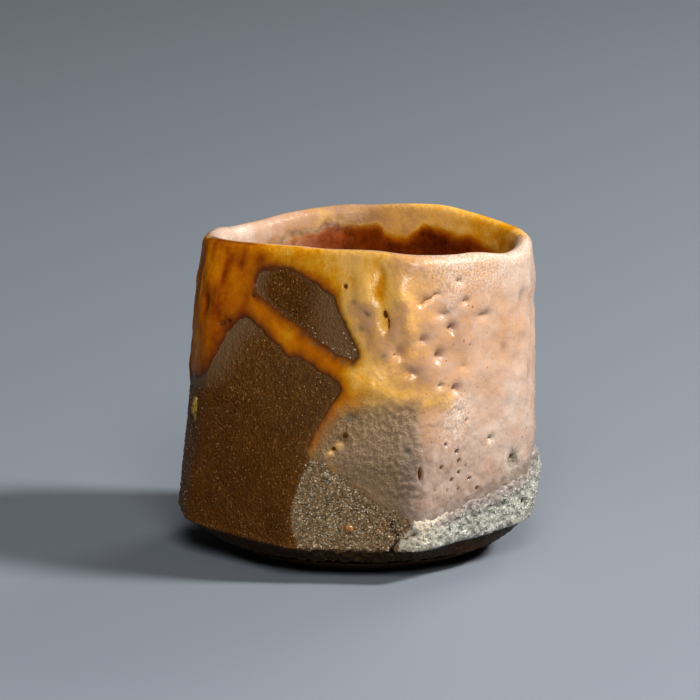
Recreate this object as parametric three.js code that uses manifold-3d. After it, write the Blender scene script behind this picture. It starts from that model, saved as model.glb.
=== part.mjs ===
// A hand-carved sake cup of wood-fired stoneware: a knife-cut clay body on a luted foot
// ring, a glaze coat outside, a glaze lining inside, and what the kiln left on it, a crust
// of fly ash, a glassy ash drip and a melted stone.
// Millimetres, +Z up. The origin lies on the table under the middle of the cup.
// Azimuths are degrees round the cup from its front (-Y), positive towards its right (+X).
import * as THREE from "three";
import { mergeVertices } from "three/addons/utils/BufferGeometryUtils.js";
import Module from "manifold-3d";

const wasm = await Module();
wasm.setup();

// Clay body
const BASE_RADIUS = 33.2; // thrown form at its lower arris
const RIM_RADIUS = 29.8; // thrown form at its lip
const RIM_SHIFT = 1.7; // the lip's middle lies this far to the right of the base's
const ARRIS_HEIGHT = 6; // lower arris above the table
const LIP_HEIGHT = 57; // height of the lip's crest before its unevenness
const LIP_WALL = 3.2; // wall at the lip
const CUT_WALL = 1.6; // wall at the lip where a cut has thinned it
const LIP_ROUND = 1.6; // height of the lip's rounding
const FLOOR_WALL = 5.5; // wall at the height of the arris
const FLOOR_THICKNESS = 6.5; // clay between the foot's seat and the well
const FLOOR_FILLET = 9; // round between the well's wall and its floor

// How far the lip's crest rises or falls: azimuth and rise
const LIP_RISE = [
  [-180, 0.2],
  [-125, -1.4],
  [-95, 0],
  [-70, 0.9],
  [-30, 1.2],
  [12, 1.8],
  [40, 0.7],
  [65, -0.8],
  [110, -0.8],
  [145, 1.4],
];

// Knife cuts that face the body: how deep each bites at the arris, how it leans inwards,
// and how many degrees it turns in each millimetre of height
const CUTS = [
  { azimuth: -31, bite: -1.3, lean: 15.3, twist: 0 }, // front left, upper
  { azimuth: -53, bite: 1.7, lean: 9, twist: 0.65 }, // front left, the large cut
  { azimuth: -45, bite: 3.4, lean: -1, twist: 0 }, // front left, at the foot of the large cut
  { azimuth: -1, bite: 2.4, lean: 0.5, twist: 0 }, // front
  { azimuth: -4, bite: 3.4, lean: -4, twist: 0 }, // front, low slice
  { azimuth: 45, bite: 3.7, lean: -1.5, twist: 0 }, // front right
  { azimuth: 88, bite: 1.5, lean: 0, twist: 0 }, // right
  { azimuth: 152, bite: 1.4, lean: 7, twist: 0 }, // back right
  { azimuth: -150, bite: 0.8, lean: 5, twist: 0 }, // back left
];
const TWIST_RISE = 34; // a turning cut turns no further above this height over the arris

// Foot ring
const FOOT_OUTER = 20; // outer radius on the table
const FOOT_INNER = 14.5; // inner radius on the table
const FOOT_RECESS_TAPER = 1; // the recess widens this much to its top
const FOOT_HEIGHT = 3;

// Glaze, ash and the seams between the pieces
const SEAM = 0.3; // gap between two pieces that are fused on the real cup
const GLAZE = 0.6; // thickness of both glaze coats
const CRUST = 0.8; // thickness of the ash crust
const CRUST_FROM = 13; // azimuths where the crust starts and ends
const CRUST_TO = 138;

// Lower edge of the outer glaze: azimuth and height. The crust lies under it on the right.
const GLAZE_EDGE = [
  [-180, 17],
  [-150, 26],
  [-120, 19],
  [-95, 30],
  [-60, 12],
  [-20, 10],
  [14, 12.5],
  [40, 16],
  [68, 20],
  [90, 20.5],
  [118, 15],
  [150, 10],
];

// Bare clay as the front shows it: distance right of the foot's middle, and height
const BARE_FRONT = [
  [-40, 29],
  [-30.5, 32],
  [-28, 35.5],
  [-26, 41],
  [-23, 45],
  [-21, 47],
  [-19.5, 46.5],
  [-13, 39.5],
  [-11, 39.5],
  [-5, 37],
  [-3.5, 35],
  [-5.5, 32],
  [-9, 24.5],
  [-8.5, 23.5],
  [-2, 19],
  [4, 14.5],
  [8, 12],
  [6.5, 0],
  [-40, 0],
];
const BARE_WINDOW = [
  [-18.5, 52],
  [-17, 54],
  [-14, 54.5],
  [-10.5, 54],
  [-5, 51],
  [-4, 49],
  [-1.5, 44],
  [-0.5, 41.5],
  [-1.5, 40.5],
  [-3, 40.5],
  [-9, 44],
  [-17, 48.5],
  [-18.5, 49.5],
];

// Small ash and stone beads: place, then width, height and rise from the surface
const CRUST_LUMP = { azimuth: 88, height: 14, size: [6, 7, 1.6] };
const ASH_DRIP = { azimuth: -72, height: 27.5, size: [1.6, 4.2, 0.8] };
const STONE = { azimuth: -4, height: 10.3, size: [2, 1.8, 0.9] };

// Mesh fineness
const COLUMNS = 60; // points in each ring round the cup
const WALL_STEPS = 6; // rings up a wall
const TWIST_STEPS = 40; // slices of a turning cut
const LIP_STEPS = 4; // rings over the lip
const FILLET_STEPS = 3;
const BEAD_STEPS = 10;
const REACH = 200; // cutters pass every surface by far

const seatHeight = FOOT_HEIGHT + SEAM;
const floorHeight = seatHeight + FLOOR_THICKNESS;
const undersideSlope = ARRIS_HEIGHT / (BASE_RADIUS - FOOT_OUTER);
const seatRadius = FOOT_OUTER + seatHeight / undersideSlope;
const { clamp, degToRad, lerp, smoothstep } = THREE.MathUtils;

// A closed solid from a geometry, with shared corners merged
function solidOf(geometry) {
  geometry.deleteAttribute("normal");
  geometry.deleteAttribute("uv");
  const merged = mergeVertices(geometry);
  return new wasm.Manifold(
    new wasm.Mesh({
      numProp: 3,
      vertProperties: merged.attributes.position.array,
      triVerts: new Uint32Array(merged.index.array),
    }),
  );
}

function geometryOf(solid) {
  const mesh = solid.getMesh();
  const geometry = new THREE.BufferGeometry();
  geometry.setAttribute("position", new THREE.BufferAttribute(mesh.vertProperties, 3));
  geometry.setIndex(new THREE.BufferAttribute(mesh.triVerts, 1));
  const faceted = geometry.toNonIndexed();
  faceted.computeVertexNormals();
  return faceted;
}

// The point at an azimuth, a radius and a height
function around(azimuth, radius, height) {
  const turn = degToRad(azimuth);
  return new THREE.Vector3(radius * Math.sin(turn), -radius * Math.cos(turn), height);
}

// A solid skinned over rings, from a pole on the axis to another. A ring gives [radius, height] at an azimuth.
function skinned(lowPole, rings, highPole) {
  const points = [new THREE.Vector3(0, 0, lowPole)];
  for (const ring of rings) {
    for (let column = 0; column < COLUMNS; column++) {
      const azimuth = (360 * column) / COLUMNS - 180;
      points.push(around(azimuth, ...ring(azimuth)));
    }
  }
  points.push(new THREE.Vector3(0, 0, highPole));
  const last = points.length - 1;
  const at = (ring, column) => 1 + ring * COLUMNS + (column % COLUMNS);
  const faces = [];
  for (let column = 0; column < COLUMNS; column++) {
    faces.push(0, at(0, column + 1), at(0, column));
    for (let ring = 0; ring < rings.length - 1; ring++) {
      const [a, b] = [at(ring, column), at(ring, column + 1)];
      const [c, d] = [at(ring + 1, column), at(ring + 1, column + 1)];
      faces.push(a, b, d, a, d, c);
    }
    faces.push(last, at(rings.length - 1, column), at(rings.length - 1, column + 1));
  }
  const geometry = new THREE.BufferGeometry().setFromPoints(points);
  geometry.setIndex(faces);
  return solidOf(geometry);
}

// The value of a table of azimuths at any azimuth, eased from each entry to the next
function tableAt(table, azimuth) {
  const next = table.findIndex(([from]) => from > azimuth);
  const [after, high] = next < 0 ? [table[0][0] + 360, table[0][1]] : table[next];
  const [before, low] = table[(next < 0 ? table.length : next) - 1];
  return lerp(low, high, smoothstep(azimuth, before, after));
}

const lipHeight = (azimuth) => LIP_HEIGHT + tableAt(LIP_RISE, azimuth);
const shoulderHeight = (azimuth) => lipHeight(azimuth) - LIP_ROUND;

// How far up the wall a height is: 0 at the arris, 1 at the lip's shoulder
function wallShare(azimuth, height) {
  return (height - ARRIS_HEIGHT) / (shoulderHeight(azimuth) - ARRIS_HEIGHT);
}

// Radius of the thrown form before the cuts
function roundRadius(azimuth, height) {
  const share = wallShare(azimuth, height);
  const radius = lerp(BASE_RADIUS, RIM_RADIUS, share);
  const shift = RIM_SHIFT * share;
  const along = shift * Math.sin(degToRad(azimuth));
  return along + Math.sqrt(radius ** 2 - shift ** 2 + along ** 2);
}

// How far a cut has turned at a height, in degrees
const turnAt = (cut, height) => cut.twist * clamp(height - ARRIS_HEIGHT, 0, TWIST_RISE);

// Radius of the body with its cuts
function bodyRadius(azimuth, height) {
  let radius = roundRadius(azimuth, height);
  for (const cut of CUTS) {
    const facing = Math.cos(degToRad(azimuth - cut.azimuth - turnAt(cut, height)));
    const rise = (height - ARRIS_HEIGHT) * Math.tan(degToRad(cut.lean));
    if (facing > 0) radius = Math.min(radius, (BASE_RADIUS - cut.bite - rise) / facing);
  }
  return radius;
}

// Radius of the well: round inside, but never so wide that a cut would break through
function wellRadius(azimuth, height) {
  const share = clamp(wallShare(azimuth, height), 0, 1);
  const thrown = roundRadius(azimuth, height) - lerp(FLOOR_WALL, LIP_WALL, share);
  return Math.min(thrown, bodyRadius(azimuth, height) - lerp(FLOOR_WALL, CUT_WALL, share));
}

const middleRadius = (azimuth, height) => (bodyRadius(azimuth, height) + wellRadius(azimuth, height)) / 2;

// Everything outside a cut's surface, moved out by an offset
function cutter(cut, offset) {
  const outward = around(cut.azimuth, Math.cos(degToRad(cut.lean)), Math.sin(degToRad(cut.lean)));
  const along = around(cut.azimuth + 90, 1, 0);
  const up = new THREE.Vector3().crossVectors(outward, along);
  const slices = cut.twist === 0 ? 1 : TWIST_STEPS;
  const box = new THREE.BoxGeometry(REACH, REACH, REACH, 1, slices, 1).translate(0, 0, offset + REACH / 2);
  box.applyMatrix4(new THREE.Matrix4().makeBasis(along, up, outward));
  const start = around(cut.azimuth, BASE_RADIUS - cut.bite, ARRIS_HEIGHT);
  box.translate(start.x, start.y, start.z);
  const corners = box.attributes.position;
  const vertical = new THREE.Vector3(0, 0, 1);
  for (let index = 0; index < corners.count; index++) {
    const corner = new THREE.Vector3().fromBufferAttribute(corners, index);
    corner.applyAxisAngle(vertical, degToRad(turnAt(cut, corner.z)));
    corners.setXYZ(index, corner.x, corner.y, corner.z);
  }
  return solidOf(box);
}

// The cut and hollowed body, with every surface moved out by an offset
function form(offset) {
  const rings = [
    () => [seatRadius, seatHeight - offset],
    (azimuth) => [roundRadius(azimuth, ARRIS_HEIGHT) + offset, ARRIS_HEIGHT],
  ];
  for (let step = 1; step < WALL_STEPS; step++) {
    rings.push((azimuth) => {
      const height = lerp(ARRIS_HEIGHT, shoulderHeight(azimuth), step / WALL_STEPS);
      return [roundRadius(azimuth, height) + offset, height];
    });
  }
  for (let step = 0; step <= LIP_STEPS; step++) {
    const turn = (Math.PI * step) / LIP_STEPS;
    rings.push((azimuth) => {
      const shoulder = shoulderHeight(azimuth);
      const middle = middleRadius(azimuth, shoulder);
      const half = bodyRadius(azimuth, shoulder) - middle + offset;
      return [middle + half * Math.cos(turn), shoulder + (LIP_ROUND + offset) * Math.sin(turn)];
    });
  }
  const filletTop = floorHeight + FLOOR_FILLET;
  for (let step = 1; step < WALL_STEPS; step++) {
    rings.push((azimuth) => {
      const height = lerp(shoulderHeight(azimuth), filletTop, step / WALL_STEPS);
      return [wellRadius(azimuth, height) - offset, height];
    });
  }
  for (let step = 0; step <= FILLET_STEPS; step++) {
    const turn = ((Math.PI / 2) * step) / FILLET_STEPS;
    rings.push((azimuth) => {
      const middle = wellRadius(azimuth, filletTop) - FLOOR_FILLET;
      const round = FLOOR_FILLET - offset;
      return [middle + round * Math.cos(turn), filletTop - round * Math.sin(turn)];
    });
  }
  const whole = skinned(seatHeight - offset, rings, floorHeight + offset);
  return CUTS.reduce((solid, cut) => solid.subtract(cutter(cut, offset)), whole);
}

// A coat of one thickness all over the body, a seam away from the clay
const seamForm = form(SEAM);
const coat = (thickness) => form(SEAM + thickness).subtract(seamForm);

// All that lies inside the middle of the wall, which parts the lining from the outer coat
function wallMiddle(offset) {
  const top = LIP_HEIGHT + REACH;
  const rings = [];
  for (let step = 0; step <= WALL_STEPS; step++) {
    rings.push((azimuth) => {
      const height = lerp(floorHeight - FLOOR_THICKNESS / 2, shoulderHeight(azimuth), step / WALL_STEPS);
      return [middleRadius(azimuth, height) + offset, height];
    });
  }
  rings.push((azimuth) => [middleRadius(azimuth, shoulderHeight(azimuth)) + offset, top]);
  return skinned(floorHeight - FLOOR_THICKNESS / 2, rings, top);
}

// All that lies below the glaze's edge
function belowEdge(drop) {
  const height = (azimuth) => tableAt(GLAZE_EDGE, azimuth) - drop;
  const rings = [
    () => [REACH, -REACH],
    (azimuth) => [REACH, height(azimuth)],
    (azimuth) => [FOOT_INNER, height(azimuth)],
  ];
  return skinned(-REACH, rings, ARRIS_HEIGHT);
}

// A front-view outline carried back as far as the middle of the cup
function frontPrism(outline) {
  const curve = new THREE.Shape(outline.map(([x, z]) => new THREE.Vector2(x, z)));
  const prism = new THREE.ExtrudeGeometry(curve, { depth: REACH, bevelEnabled: false });
  return solidOf(prism.rotateX(Math.PI / 2));
}

// The sector of the cup between two azimuths, above the arris
function sector(from, to) {
  const corners = [new THREE.Vector2()];
  for (let step = 0; step <= WALL_STEPS; step++) {
    const point = around(lerp(from, to, step / WALL_STEPS), REACH, 0);
    corners.push(new THREE.Vector2(point.x, point.y));
  }
  const prism = new THREE.ExtrudeGeometry(new THREE.Shape(corners), { depth: REACH, bevelEnabled: false });
  return solidOf(prism.translate(0, 0, ARRIS_HEIGHT + SEAM));
}

// A low dome on the body's side, its flat back a seam away from the clay
function bead({ azimuth, height, size: [width, tall, rise] }) {
  const profile = [new THREE.Vector2(0, 0)];
  for (let step = 0; step <= BEAD_STEPS / 2; step++) {
    const turn = (Math.PI * step) / BEAD_STEPS;
    profile.push(new THREE.Vector2(step === BEAD_STEPS / 2 ? 0 : Math.cos(turn), Math.sin(turn)));
  }
  const dome = new THREE.LatheGeometry(profile, BEAD_STEPS).rotateX(Math.PI / 2);
  dome.scale(width / 2, tall / 2, rise);
  const step = 1;
  const radiusAt = (swing, lift) => around(azimuth + swing, bodyRadius(azimuth + swing, height + lift), height + lift);
  const along = radiusAt(step, 0).sub(radiusAt(-step, 0)).normalize();
  const slope = radiusAt(0, step).sub(radiusAt(0, -step)).normalize();
  const outward = new THREE.Vector3().crossVectors(along, slope).normalize();
  const up = new THREE.Vector3().crossVectors(outward, along);
  dome.applyMatrix4(new THREE.Matrix4().makeBasis(along, up, outward));
  const seat = radiusAt(0, 0).addScaledVector(outward, SEAM);
  return solidOf(dome.translate(seat.x, seat.y, seat.z));
}

const glazeCoat = coat(GLAZE);

function outerGlaze() {
  return glazeCoat
    .subtract(wallMiddle(SEAM / 2))
    .subtract(belowEdge(0))
    .subtract(frontPrism(BARE_FRONT))
    .subtract(frontPrism(BARE_WINDOW));
}

function ashCrust() {
  const side = coat(CRUST).subtract(wallMiddle(0));
  const band = side.intersect(sector(CRUST_FROM, CRUST_TO)).intersect(belowEdge(SEAM));
  const lump = bead(CRUST_LUMP).subtract(seamForm);
  return band.add(lump);
}

// The foot ring's section, turned round the axis
function footRing() {
  const topOuter = FOOT_OUTER + FOOT_HEIGHT / undersideSlope;
  const section = [
    [FOOT_INNER, 0],
    [FOOT_OUTER, 0],
    [topOuter, FOOT_HEIGHT],
    [FOOT_INNER + FOOT_RECESS_TAPER, FOOT_HEIGHT],
    [FOOT_INNER, 0],
  ];
  const profile = section.map(([radius, height]) => new THREE.Vector2(radius, height));
  return solidOf(new THREE.LatheGeometry(profile, COLUMNS).rotateX(Math.PI / 2));
}

function material(color, roughness) {
  return new THREE.MeshStandardMaterial({ color, roughness, metalness: 0 });
}

const bareClay = material("#4a3322", 0.85);
const amberGlaze = material("#c9833f", 0.35);
const rustGlaze = material("#7a3a14", 0.3);
const paleAsh = material("#8d8f7c", 0.8);
const ashGlass = material("#a98a3a", 0.2);
const feldspar = material("#b0702c", 0.45);

const PIECES = [
  ["clay_body", form(0), bareClay],
  ["foot_ring", footRing(), bareClay],
  ["outer_glaze", outerGlaze(), amberGlaze],
  ["inner_glaze", glazeCoat.intersect(wallMiddle(-SEAM / 2)), rustGlaze],
  ["ash_crust", ashCrust(), paleAsh],
  ["ash_drip", bead(ASH_DRIP), ashGlass],
  ["melted_stone", bead(STONE), feldspar],
];

const cup = new THREE.Group();
cup.name = "sake_cup";
for (const [name, solid, finish] of PIECES) {
  const mesh = new THREE.Mesh(geometryOf(solid), finish);
  mesh.name = name;
  cup.add(mesh);
}

// The origin goes under the middle of the whole cup
const middle = new THREE.Box3().setFromObject(cup).getCenter(new THREE.Vector3());
for (const mesh of cup.children) mesh.geometry.translate(-middle.x, -middle.y, 0);

export default cup;
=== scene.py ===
import math

import bpy
import numpy as np
from bpy.props import FloatProperty, FloatVectorProperty, PointerProperty
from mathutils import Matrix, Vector, noise


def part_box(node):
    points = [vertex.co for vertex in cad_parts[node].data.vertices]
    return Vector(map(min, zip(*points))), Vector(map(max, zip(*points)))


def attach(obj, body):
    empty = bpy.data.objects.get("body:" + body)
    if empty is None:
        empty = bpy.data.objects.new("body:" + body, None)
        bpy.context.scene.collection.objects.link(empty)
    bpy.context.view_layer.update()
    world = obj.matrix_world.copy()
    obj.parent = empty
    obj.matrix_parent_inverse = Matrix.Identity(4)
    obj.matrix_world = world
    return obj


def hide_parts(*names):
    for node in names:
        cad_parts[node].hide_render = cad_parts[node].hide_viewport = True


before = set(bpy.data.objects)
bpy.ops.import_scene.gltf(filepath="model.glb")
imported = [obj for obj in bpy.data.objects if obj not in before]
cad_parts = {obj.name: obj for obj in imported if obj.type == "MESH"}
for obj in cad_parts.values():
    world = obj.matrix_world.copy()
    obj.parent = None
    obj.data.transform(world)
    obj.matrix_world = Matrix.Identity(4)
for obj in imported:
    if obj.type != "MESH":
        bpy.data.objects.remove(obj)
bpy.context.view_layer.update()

bl_info = {
    "name": "Carved sake cup",
    "version": (1, 0, 0),
    "blender": (4, 5, 0),
    "location": "View3D > Sidebar > Sake cup",
    "description": "Builds a wood-fired, knife-cut sake cup piece by piece",
    "category": "Object",
}

# Lengths below are millimetres, heights are over the table, and azimuths are degrees round the foot's
# middle from the front (-Y), positive towards the right (+X).
MM = 0.001
FOOT_LOW, FOOT_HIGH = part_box("foot_ring")
AXIS = ((FOOT_LOW[0] + FOOT_HIGH[0]) / 2, (FOOT_LOW[1] + FOOT_HIGH[1]) / 2)
FOOT_TOP = FOOT_HIGH[2] / MM
SEAT_GAP = 0.3
FOOT_CHAMFER = 0.25

# The lip's unevenness: azimuth and rise
LIP_RISE = [
    (-180, 0.2), (-125, -1.4), (-95, 0.0), (-70, 0.9), (-30, 1.2), (12, 1.8), (40, 0.7),
    (65, -0.8), (110, -0.8), (145, 1.4),
]

# How far the lower arris rises over its lowest height: azimuth and rise
ARRIS_RISE = [
    (-180, 0.8), (-90, 1.7), (-55, 0.5), (0, 0.4), (45, 0.9), (85, 1.5), (125, 1.1),
]

# Knife cuts: azimuth, bite at the arris, lean inwards, turn in degrees for each millimetre of height, and
# the width over which the edge is rounded low and high on the wall
CUTS = [
    (88, 1.5, 0.0, 0.0, 4.0, 4.0),
    (152, 1.4, 7.0, 0.0, 2.5, 3.5),
    (-150, 0.8, 5.0, 0.0, 2.5, 3.5),
    (45, 3.7, -1.5, 0.0, 2.0, 3.5),
    (-1, 2.4, 0.5, 0.0, 1.0, 3.0),
    (-4, 3.4, -4.0, 0.0, 0.5, 0.5),
    (-31, -1.3, 15.3, 0.0, 2.5, 2.5),
    (-45, 3.4, -1.0, 0.0, 0.5, 0.5),
    (-53, 1.7, 9.0, 0.65, 0.6, 4.0),
]
TWIST_RISE = 34.0

# Lower edge of the glaze: azimuth and height
GLAZE_EDGE = [
    (-180, 17), (-150, 26), (-120, 19), (-95, 30), (-60, 8), (-20, 8), (14, 9.6), (40, 10.8),
    (68, 13), (90, 15.6), (118, 11), (150, 10),
]

# Upper edge of the ash crust: azimuth and height
CRUST_TOP = [
    (-180, 4), (0, 8), (12, 11.2), (25, 12.1), (41, 13.5), (60, 14.9), (71, 16.2), (80, 18.5),
    (90, 19.4), (118, 14), (140, 8),
]

# Azimuths between which the ash crust lies
CRUST_LEFT = 12.2
CRUST_RIGHT = 136

# Lumps on the ash crust and holes in it: azimuth, height, radius, and rise or depth
CRUST_LUMPS = [
    (88, 14.6, 2.6, 1.0),
    (82, 18, 1.4, 0.6),
    (79, 11.5, 1.8, 0.5),
    (94, 10, 2.2, 0.5),
]
CRUST_HOLES = [
    (67, 11.1, 0.6, 0.9),
    (36, 12.7, 0.35, 0.8),
    (14, 11.6, 0.5, 0.9),
    (17, 9.2, 0.45, 0.7),
    (21, 8.8, 0.35, 0.7),
]

# The drip and the stone: azimuth and height, and width, height and rise
DRIP_PLACE = (-72, 27.5)
DRIP_SIZE = (1.5, 4.1, 0.7)
STONE_PLACE = (-4, 10.3)
STONE_SIZE = (1.8, 1.6, 0.6)

# Edge of the large cut as the front shows it: height, and distance right of the middle
CUT_EDGE = [
    (7.7, -11.3), (10.1, -12.3), (13.8, -12.3), (17.5, -11.3), (23.6, -8.8), (29, -6.1),
    (35.2, -2.5), (39.9, -0.6),
]

# Bare clay and the thin brown glaze as the front shows them: distance right of the middle, and height
BARE_FRONT = [
    (-40, 29), (-30.5, 32), (-27.5, 35.5), (-25, 40), (-22.8, 43.6), (-21, 45.2), (-19.4, 45.2),
    (-15.6, 42), (-13, 39.6), (-11, 39.8), (-7, 37.8), (-5, 37), (-3.4, 35), (-5.4, 32),
    (-7.9, 27.4), (-9.1, 24.4), (-8.4, 23.3), (-2.1, 19), (4, 14.4), (8, 12), (6.5, 2), (-40, 2),
]
BARE_WINDOW = [
    (-18.5, 52), (-17, 54.1), (-13.8, 54.7), (-10.6, 53.9), (-5.2, 51.1), (-4, 49), (-1.6, 44),
    (-0.4, 41.7), (-1.3, 40.3), (-3.1, 40.6), (-9.1, 43.8), (-17, 48.4), (-18.5, 49.5),
]
THIN_FRONT = [
    (-5.2, 30.3), (-0.5, 33.2), (3.7, 32.8), (9, 32.5), (10.6, 30), (11, 24), (9.8, 17),
    (8.2, 12), (2, 15.3), (-4, 19.8), (-9.6, 23.4),
]

# Pinholes and open pits in the front's glaze: azimuth, height, half width, half height and depth
PITS = [
    (-6, 52.6, 0.5, 0.5, 0.8),
    (8.4, 48.6, 0.32, 0.8, 0.8),
    (9.6, 46.8, 0.42, 1.1, 0.9),
    (31.2, 45.9, 0.45, 0.45, 0.6),
    (25.8, 41.3, 0.25, 0.25, 0.4),
    (32.3, 34.9, 0.45, 0.45, 0.6),
    (28, 25, 0.4, 0.4, 0.6),
    (33, 23.3, 0.5, 0.42, 0.6),
    (34, 21.6, 0.36, 0.36, 0.55),
    (26, 21.1, 0.38, 0.38, 0.55),
    (34, 19.4, 0.44, 0.4, 0.6),
    (39, 17.9, 0.4, 0.36, 0.6),
    (31, 18.4, 0.36, 0.36, 0.55),
    (43, 15.8, 0.4, 0.36, 0.6),
    (29, 16.6, 0.26, 0.26, 0.5),
    (34, 16.4, 0.26, 0.26, 0.5),
    (24, 17.2, 0.2, 0.2, 0.4),
    (31, 14.6, 0.2, 0.2, 0.4),
    (37, 20.6, 0.24, 0.24, 0.4),
    (39, 42.3, 0.24, 0.24, 0.4),
    (36, 43, 0.2, 0.2, 0.3),
    (11, 41.6, 0.24, 0.24, 0.4),
    (40, 48.8, 0.2, 0.2, 0.4),
    (37, 28.8, 0.28, 0.28, 0.4),
    (36.5, 50.2, 0.3, 0.3, 0.4),
    (18.9, 20.3, 0.36, 1.4, 0.8),
    (-5, 27.2, 0.55, 0.55, 0.7),
    (-9, 24.7, 0.4, 0.4, 0.6),
    (-51.5, 49.5, 0.75, 0.75, 0.35),
    (-62.5, 43.6, 0.5, 0.5, 0.6),
    (-60, 44.2, 0.45, 0.45, 0.5),
    (61, 19.8, 0.5, 0.5, 0.5),
]

# Soft dents in the front's wall: azimuth, height, half width, half height and depth
DENTS = [
    (9, 47.2, 0.9, 1.9, 1.2),
    (8, 55.5, 1, 1.8, 0.43),
    (14, 52, 1.17, 2.34, -0.38),
    (2, 52.5, 1.6, 3, -0.25),
    (20, 50.4, 0.9, 0.54, 0.9),
    (22.5, 51.2, 0.99, 0.54, 1.1),
    (25, 52, 0.9, 0.54, 0.72),
    (16, 46.5, 1.26, 1.35, -0.44),
    (24, 47, 1.08, 1.08, -0.38),
    (20, 44.2, 1.17, 1.08, 0.64),
    (31, 45.7, 1.17, 1.08, 1.5),
    (25.5, 41.1, 1.08, 1.26, 1.4),
    (32, 34.8, 1.08, 0.99, 1.4),
    (26, 35.8, 0.72, 0.63, 0.9),
    (34, 53.9, 0.81, 0.72, 0.72),
    (37, 50, 1.08, 0.81, 0.81),
    (45, 47, 2.16, 1.08, 0.64),
    (28, 48.4, 1.35, 0.9, 0.54),
    (17, 38.5, 1.44, 1.08, 0.54),
    (36, 38.5, 1.26, 1.08, 0.54),
    (13, 42, 1.35, 1.44, 0.54),
    (3, 48.4, 0.9, 0.9, 0.43),
    (2, 44.5, 1.4, 1.5, 0.43),
    (15, 24.4, 0.72, 0.72, 0.45),
    (34, 30.6, 0.9, 0.9, 0.64),
    (49, 24.3, 0.9, 0.81, 1),
    (61, 19.6, 1.08, 1.62, 0.9),
    (-6, 26, 1.2, 1, 0.72),
    (-9, 24.6, 0.9, 0.7, 0.58),
    (-3, 30.5, 1.2, 1, 0.51),
    (-61, 43.8, 1.3, 1.2, 0.72),
    (-75, 50, 0.9, 2.5, 0.43),
    (-70, 46, 0.9, 2.2, 0.43),
    (-66, 52, 0.8, 2, 0.36),
    (55, 40, 1.62, 2.16, 0.54),
    (66, 48, 1.44, 2.34, 0.64),
    (70, 33, 1.08, 2.7, 0.64),
    (76, 42, 1.26, 1.8, 0.64),
    (58, 30, 1.35, 1.44, 0.45),
]

# Thick runs of glaze, the groove between them, dark streaks and golden dimples: azimuth, height, half width,
# half height, rise and tone
GLAZE_RUNS = [
    (1.5, 53.8, 2.2, 3.6, 0.4, 0.6),
    (7.6, 52.5, 1.0, 3.8, -0.35, 0.46),
    (8.4, 48.0, 1.1, 2.2, -0.2, 0.47),
    (13, 53.6, 1.9, 3.0, 0.35, 0.62),
    (16, 48.8, 1.8, 2.6, 0.4, 0.65),
    (4.5, 48.6, 1.5, 2.4, 0.35, 0.76),
    (2.6, 36.2, 2.6, 1.2, 0.3, 0.58),
    (14, 34.6, 4.0, 1.2, 0.05, 0.57),
    (22, 33.2, 3.6, 1.3, 0.08, 0.61),
    (29, 32.4, 1.8, 1.3, 0.1, 0.64),
    (21, 28.9, 1.4, 2.8, 0.0, 0.69),
    (-7.2, 25.3, 0.8, 0.6, 0.3, 0.62),
    (-10, 24.0, 0.6, 0.5, 0.25, 0.62),
    (-66, 52, 0.8, 4.0, -0.1, 0.18),
    (-60, 55, 0.9, 2.2, -0.05, 0.2),
    (-52, 55.8, 1.2, 1.3, 0.0, 0.24),
    (-71, 46, 0.8, 3.2, -0.1, 0.2),
    (-76, 49, 0.6, 5.0, 0.1, 0.46),
    (-55, 46.5, 0.8, 1.8, 0.0, 0.24),
    (-30, 45.5, 1.2, 1.0, 0.1, 0.5),
    (-20, 42.6, 1.6, 0.9, 0.1, 0.51),
    (-25, 43.6, 0.9, 0.9, 0.0, 0.34),
]

# Patches of painted shade on the front's glaze: azimuth, height, half width in degrees, half height and
# strength
SHADE_PATCHES = [
    (15, 37, 9, 3.6, 0.34),
    (25, 32.8, 5, 1.8, 0.32),
    (32, 44, 5, 4, 0.24),
    (23, 55, 6, 3, 0.16),
]

# The crack low on the front: azimuth, half width, and the heights between which it ends
CRACK_AZIMUTH = 11.2
CRACK_WIDTH = 0.42
CRACK_END = (11.4, 12.4)

# Rust-coloured grains in the bare clay: azimuth, height and radius
RUST_SPOTS = [
    (-31.5, 24.8, 0.5), (-24, 33.4, 0.35), (-44, 13.5, 0.35),
]

# Grey-green spots that ash left on the glaze: azimuth, height and radius
ASH_SPOTS = [
    (3, 48.4, 0.9), (34, 53.9, 1.0), (15, 24.4, 0.9), (49, 24.5, 1.1), (61, 19.4, 1.8),
    (26, 35.8, 0.8), (-3.4, 30.4, 1.0), (-1.5, 50.2, 0.6), (10, 46.3, 0.5), (8, 41.5, 0.6),
    (0.5, 45.8, 0.5), (30, 49.4, 0.5), (-14, 43.6, 0.8), (-9, 41.4, 0.9), (-20, 46, 0.5),
]

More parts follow.
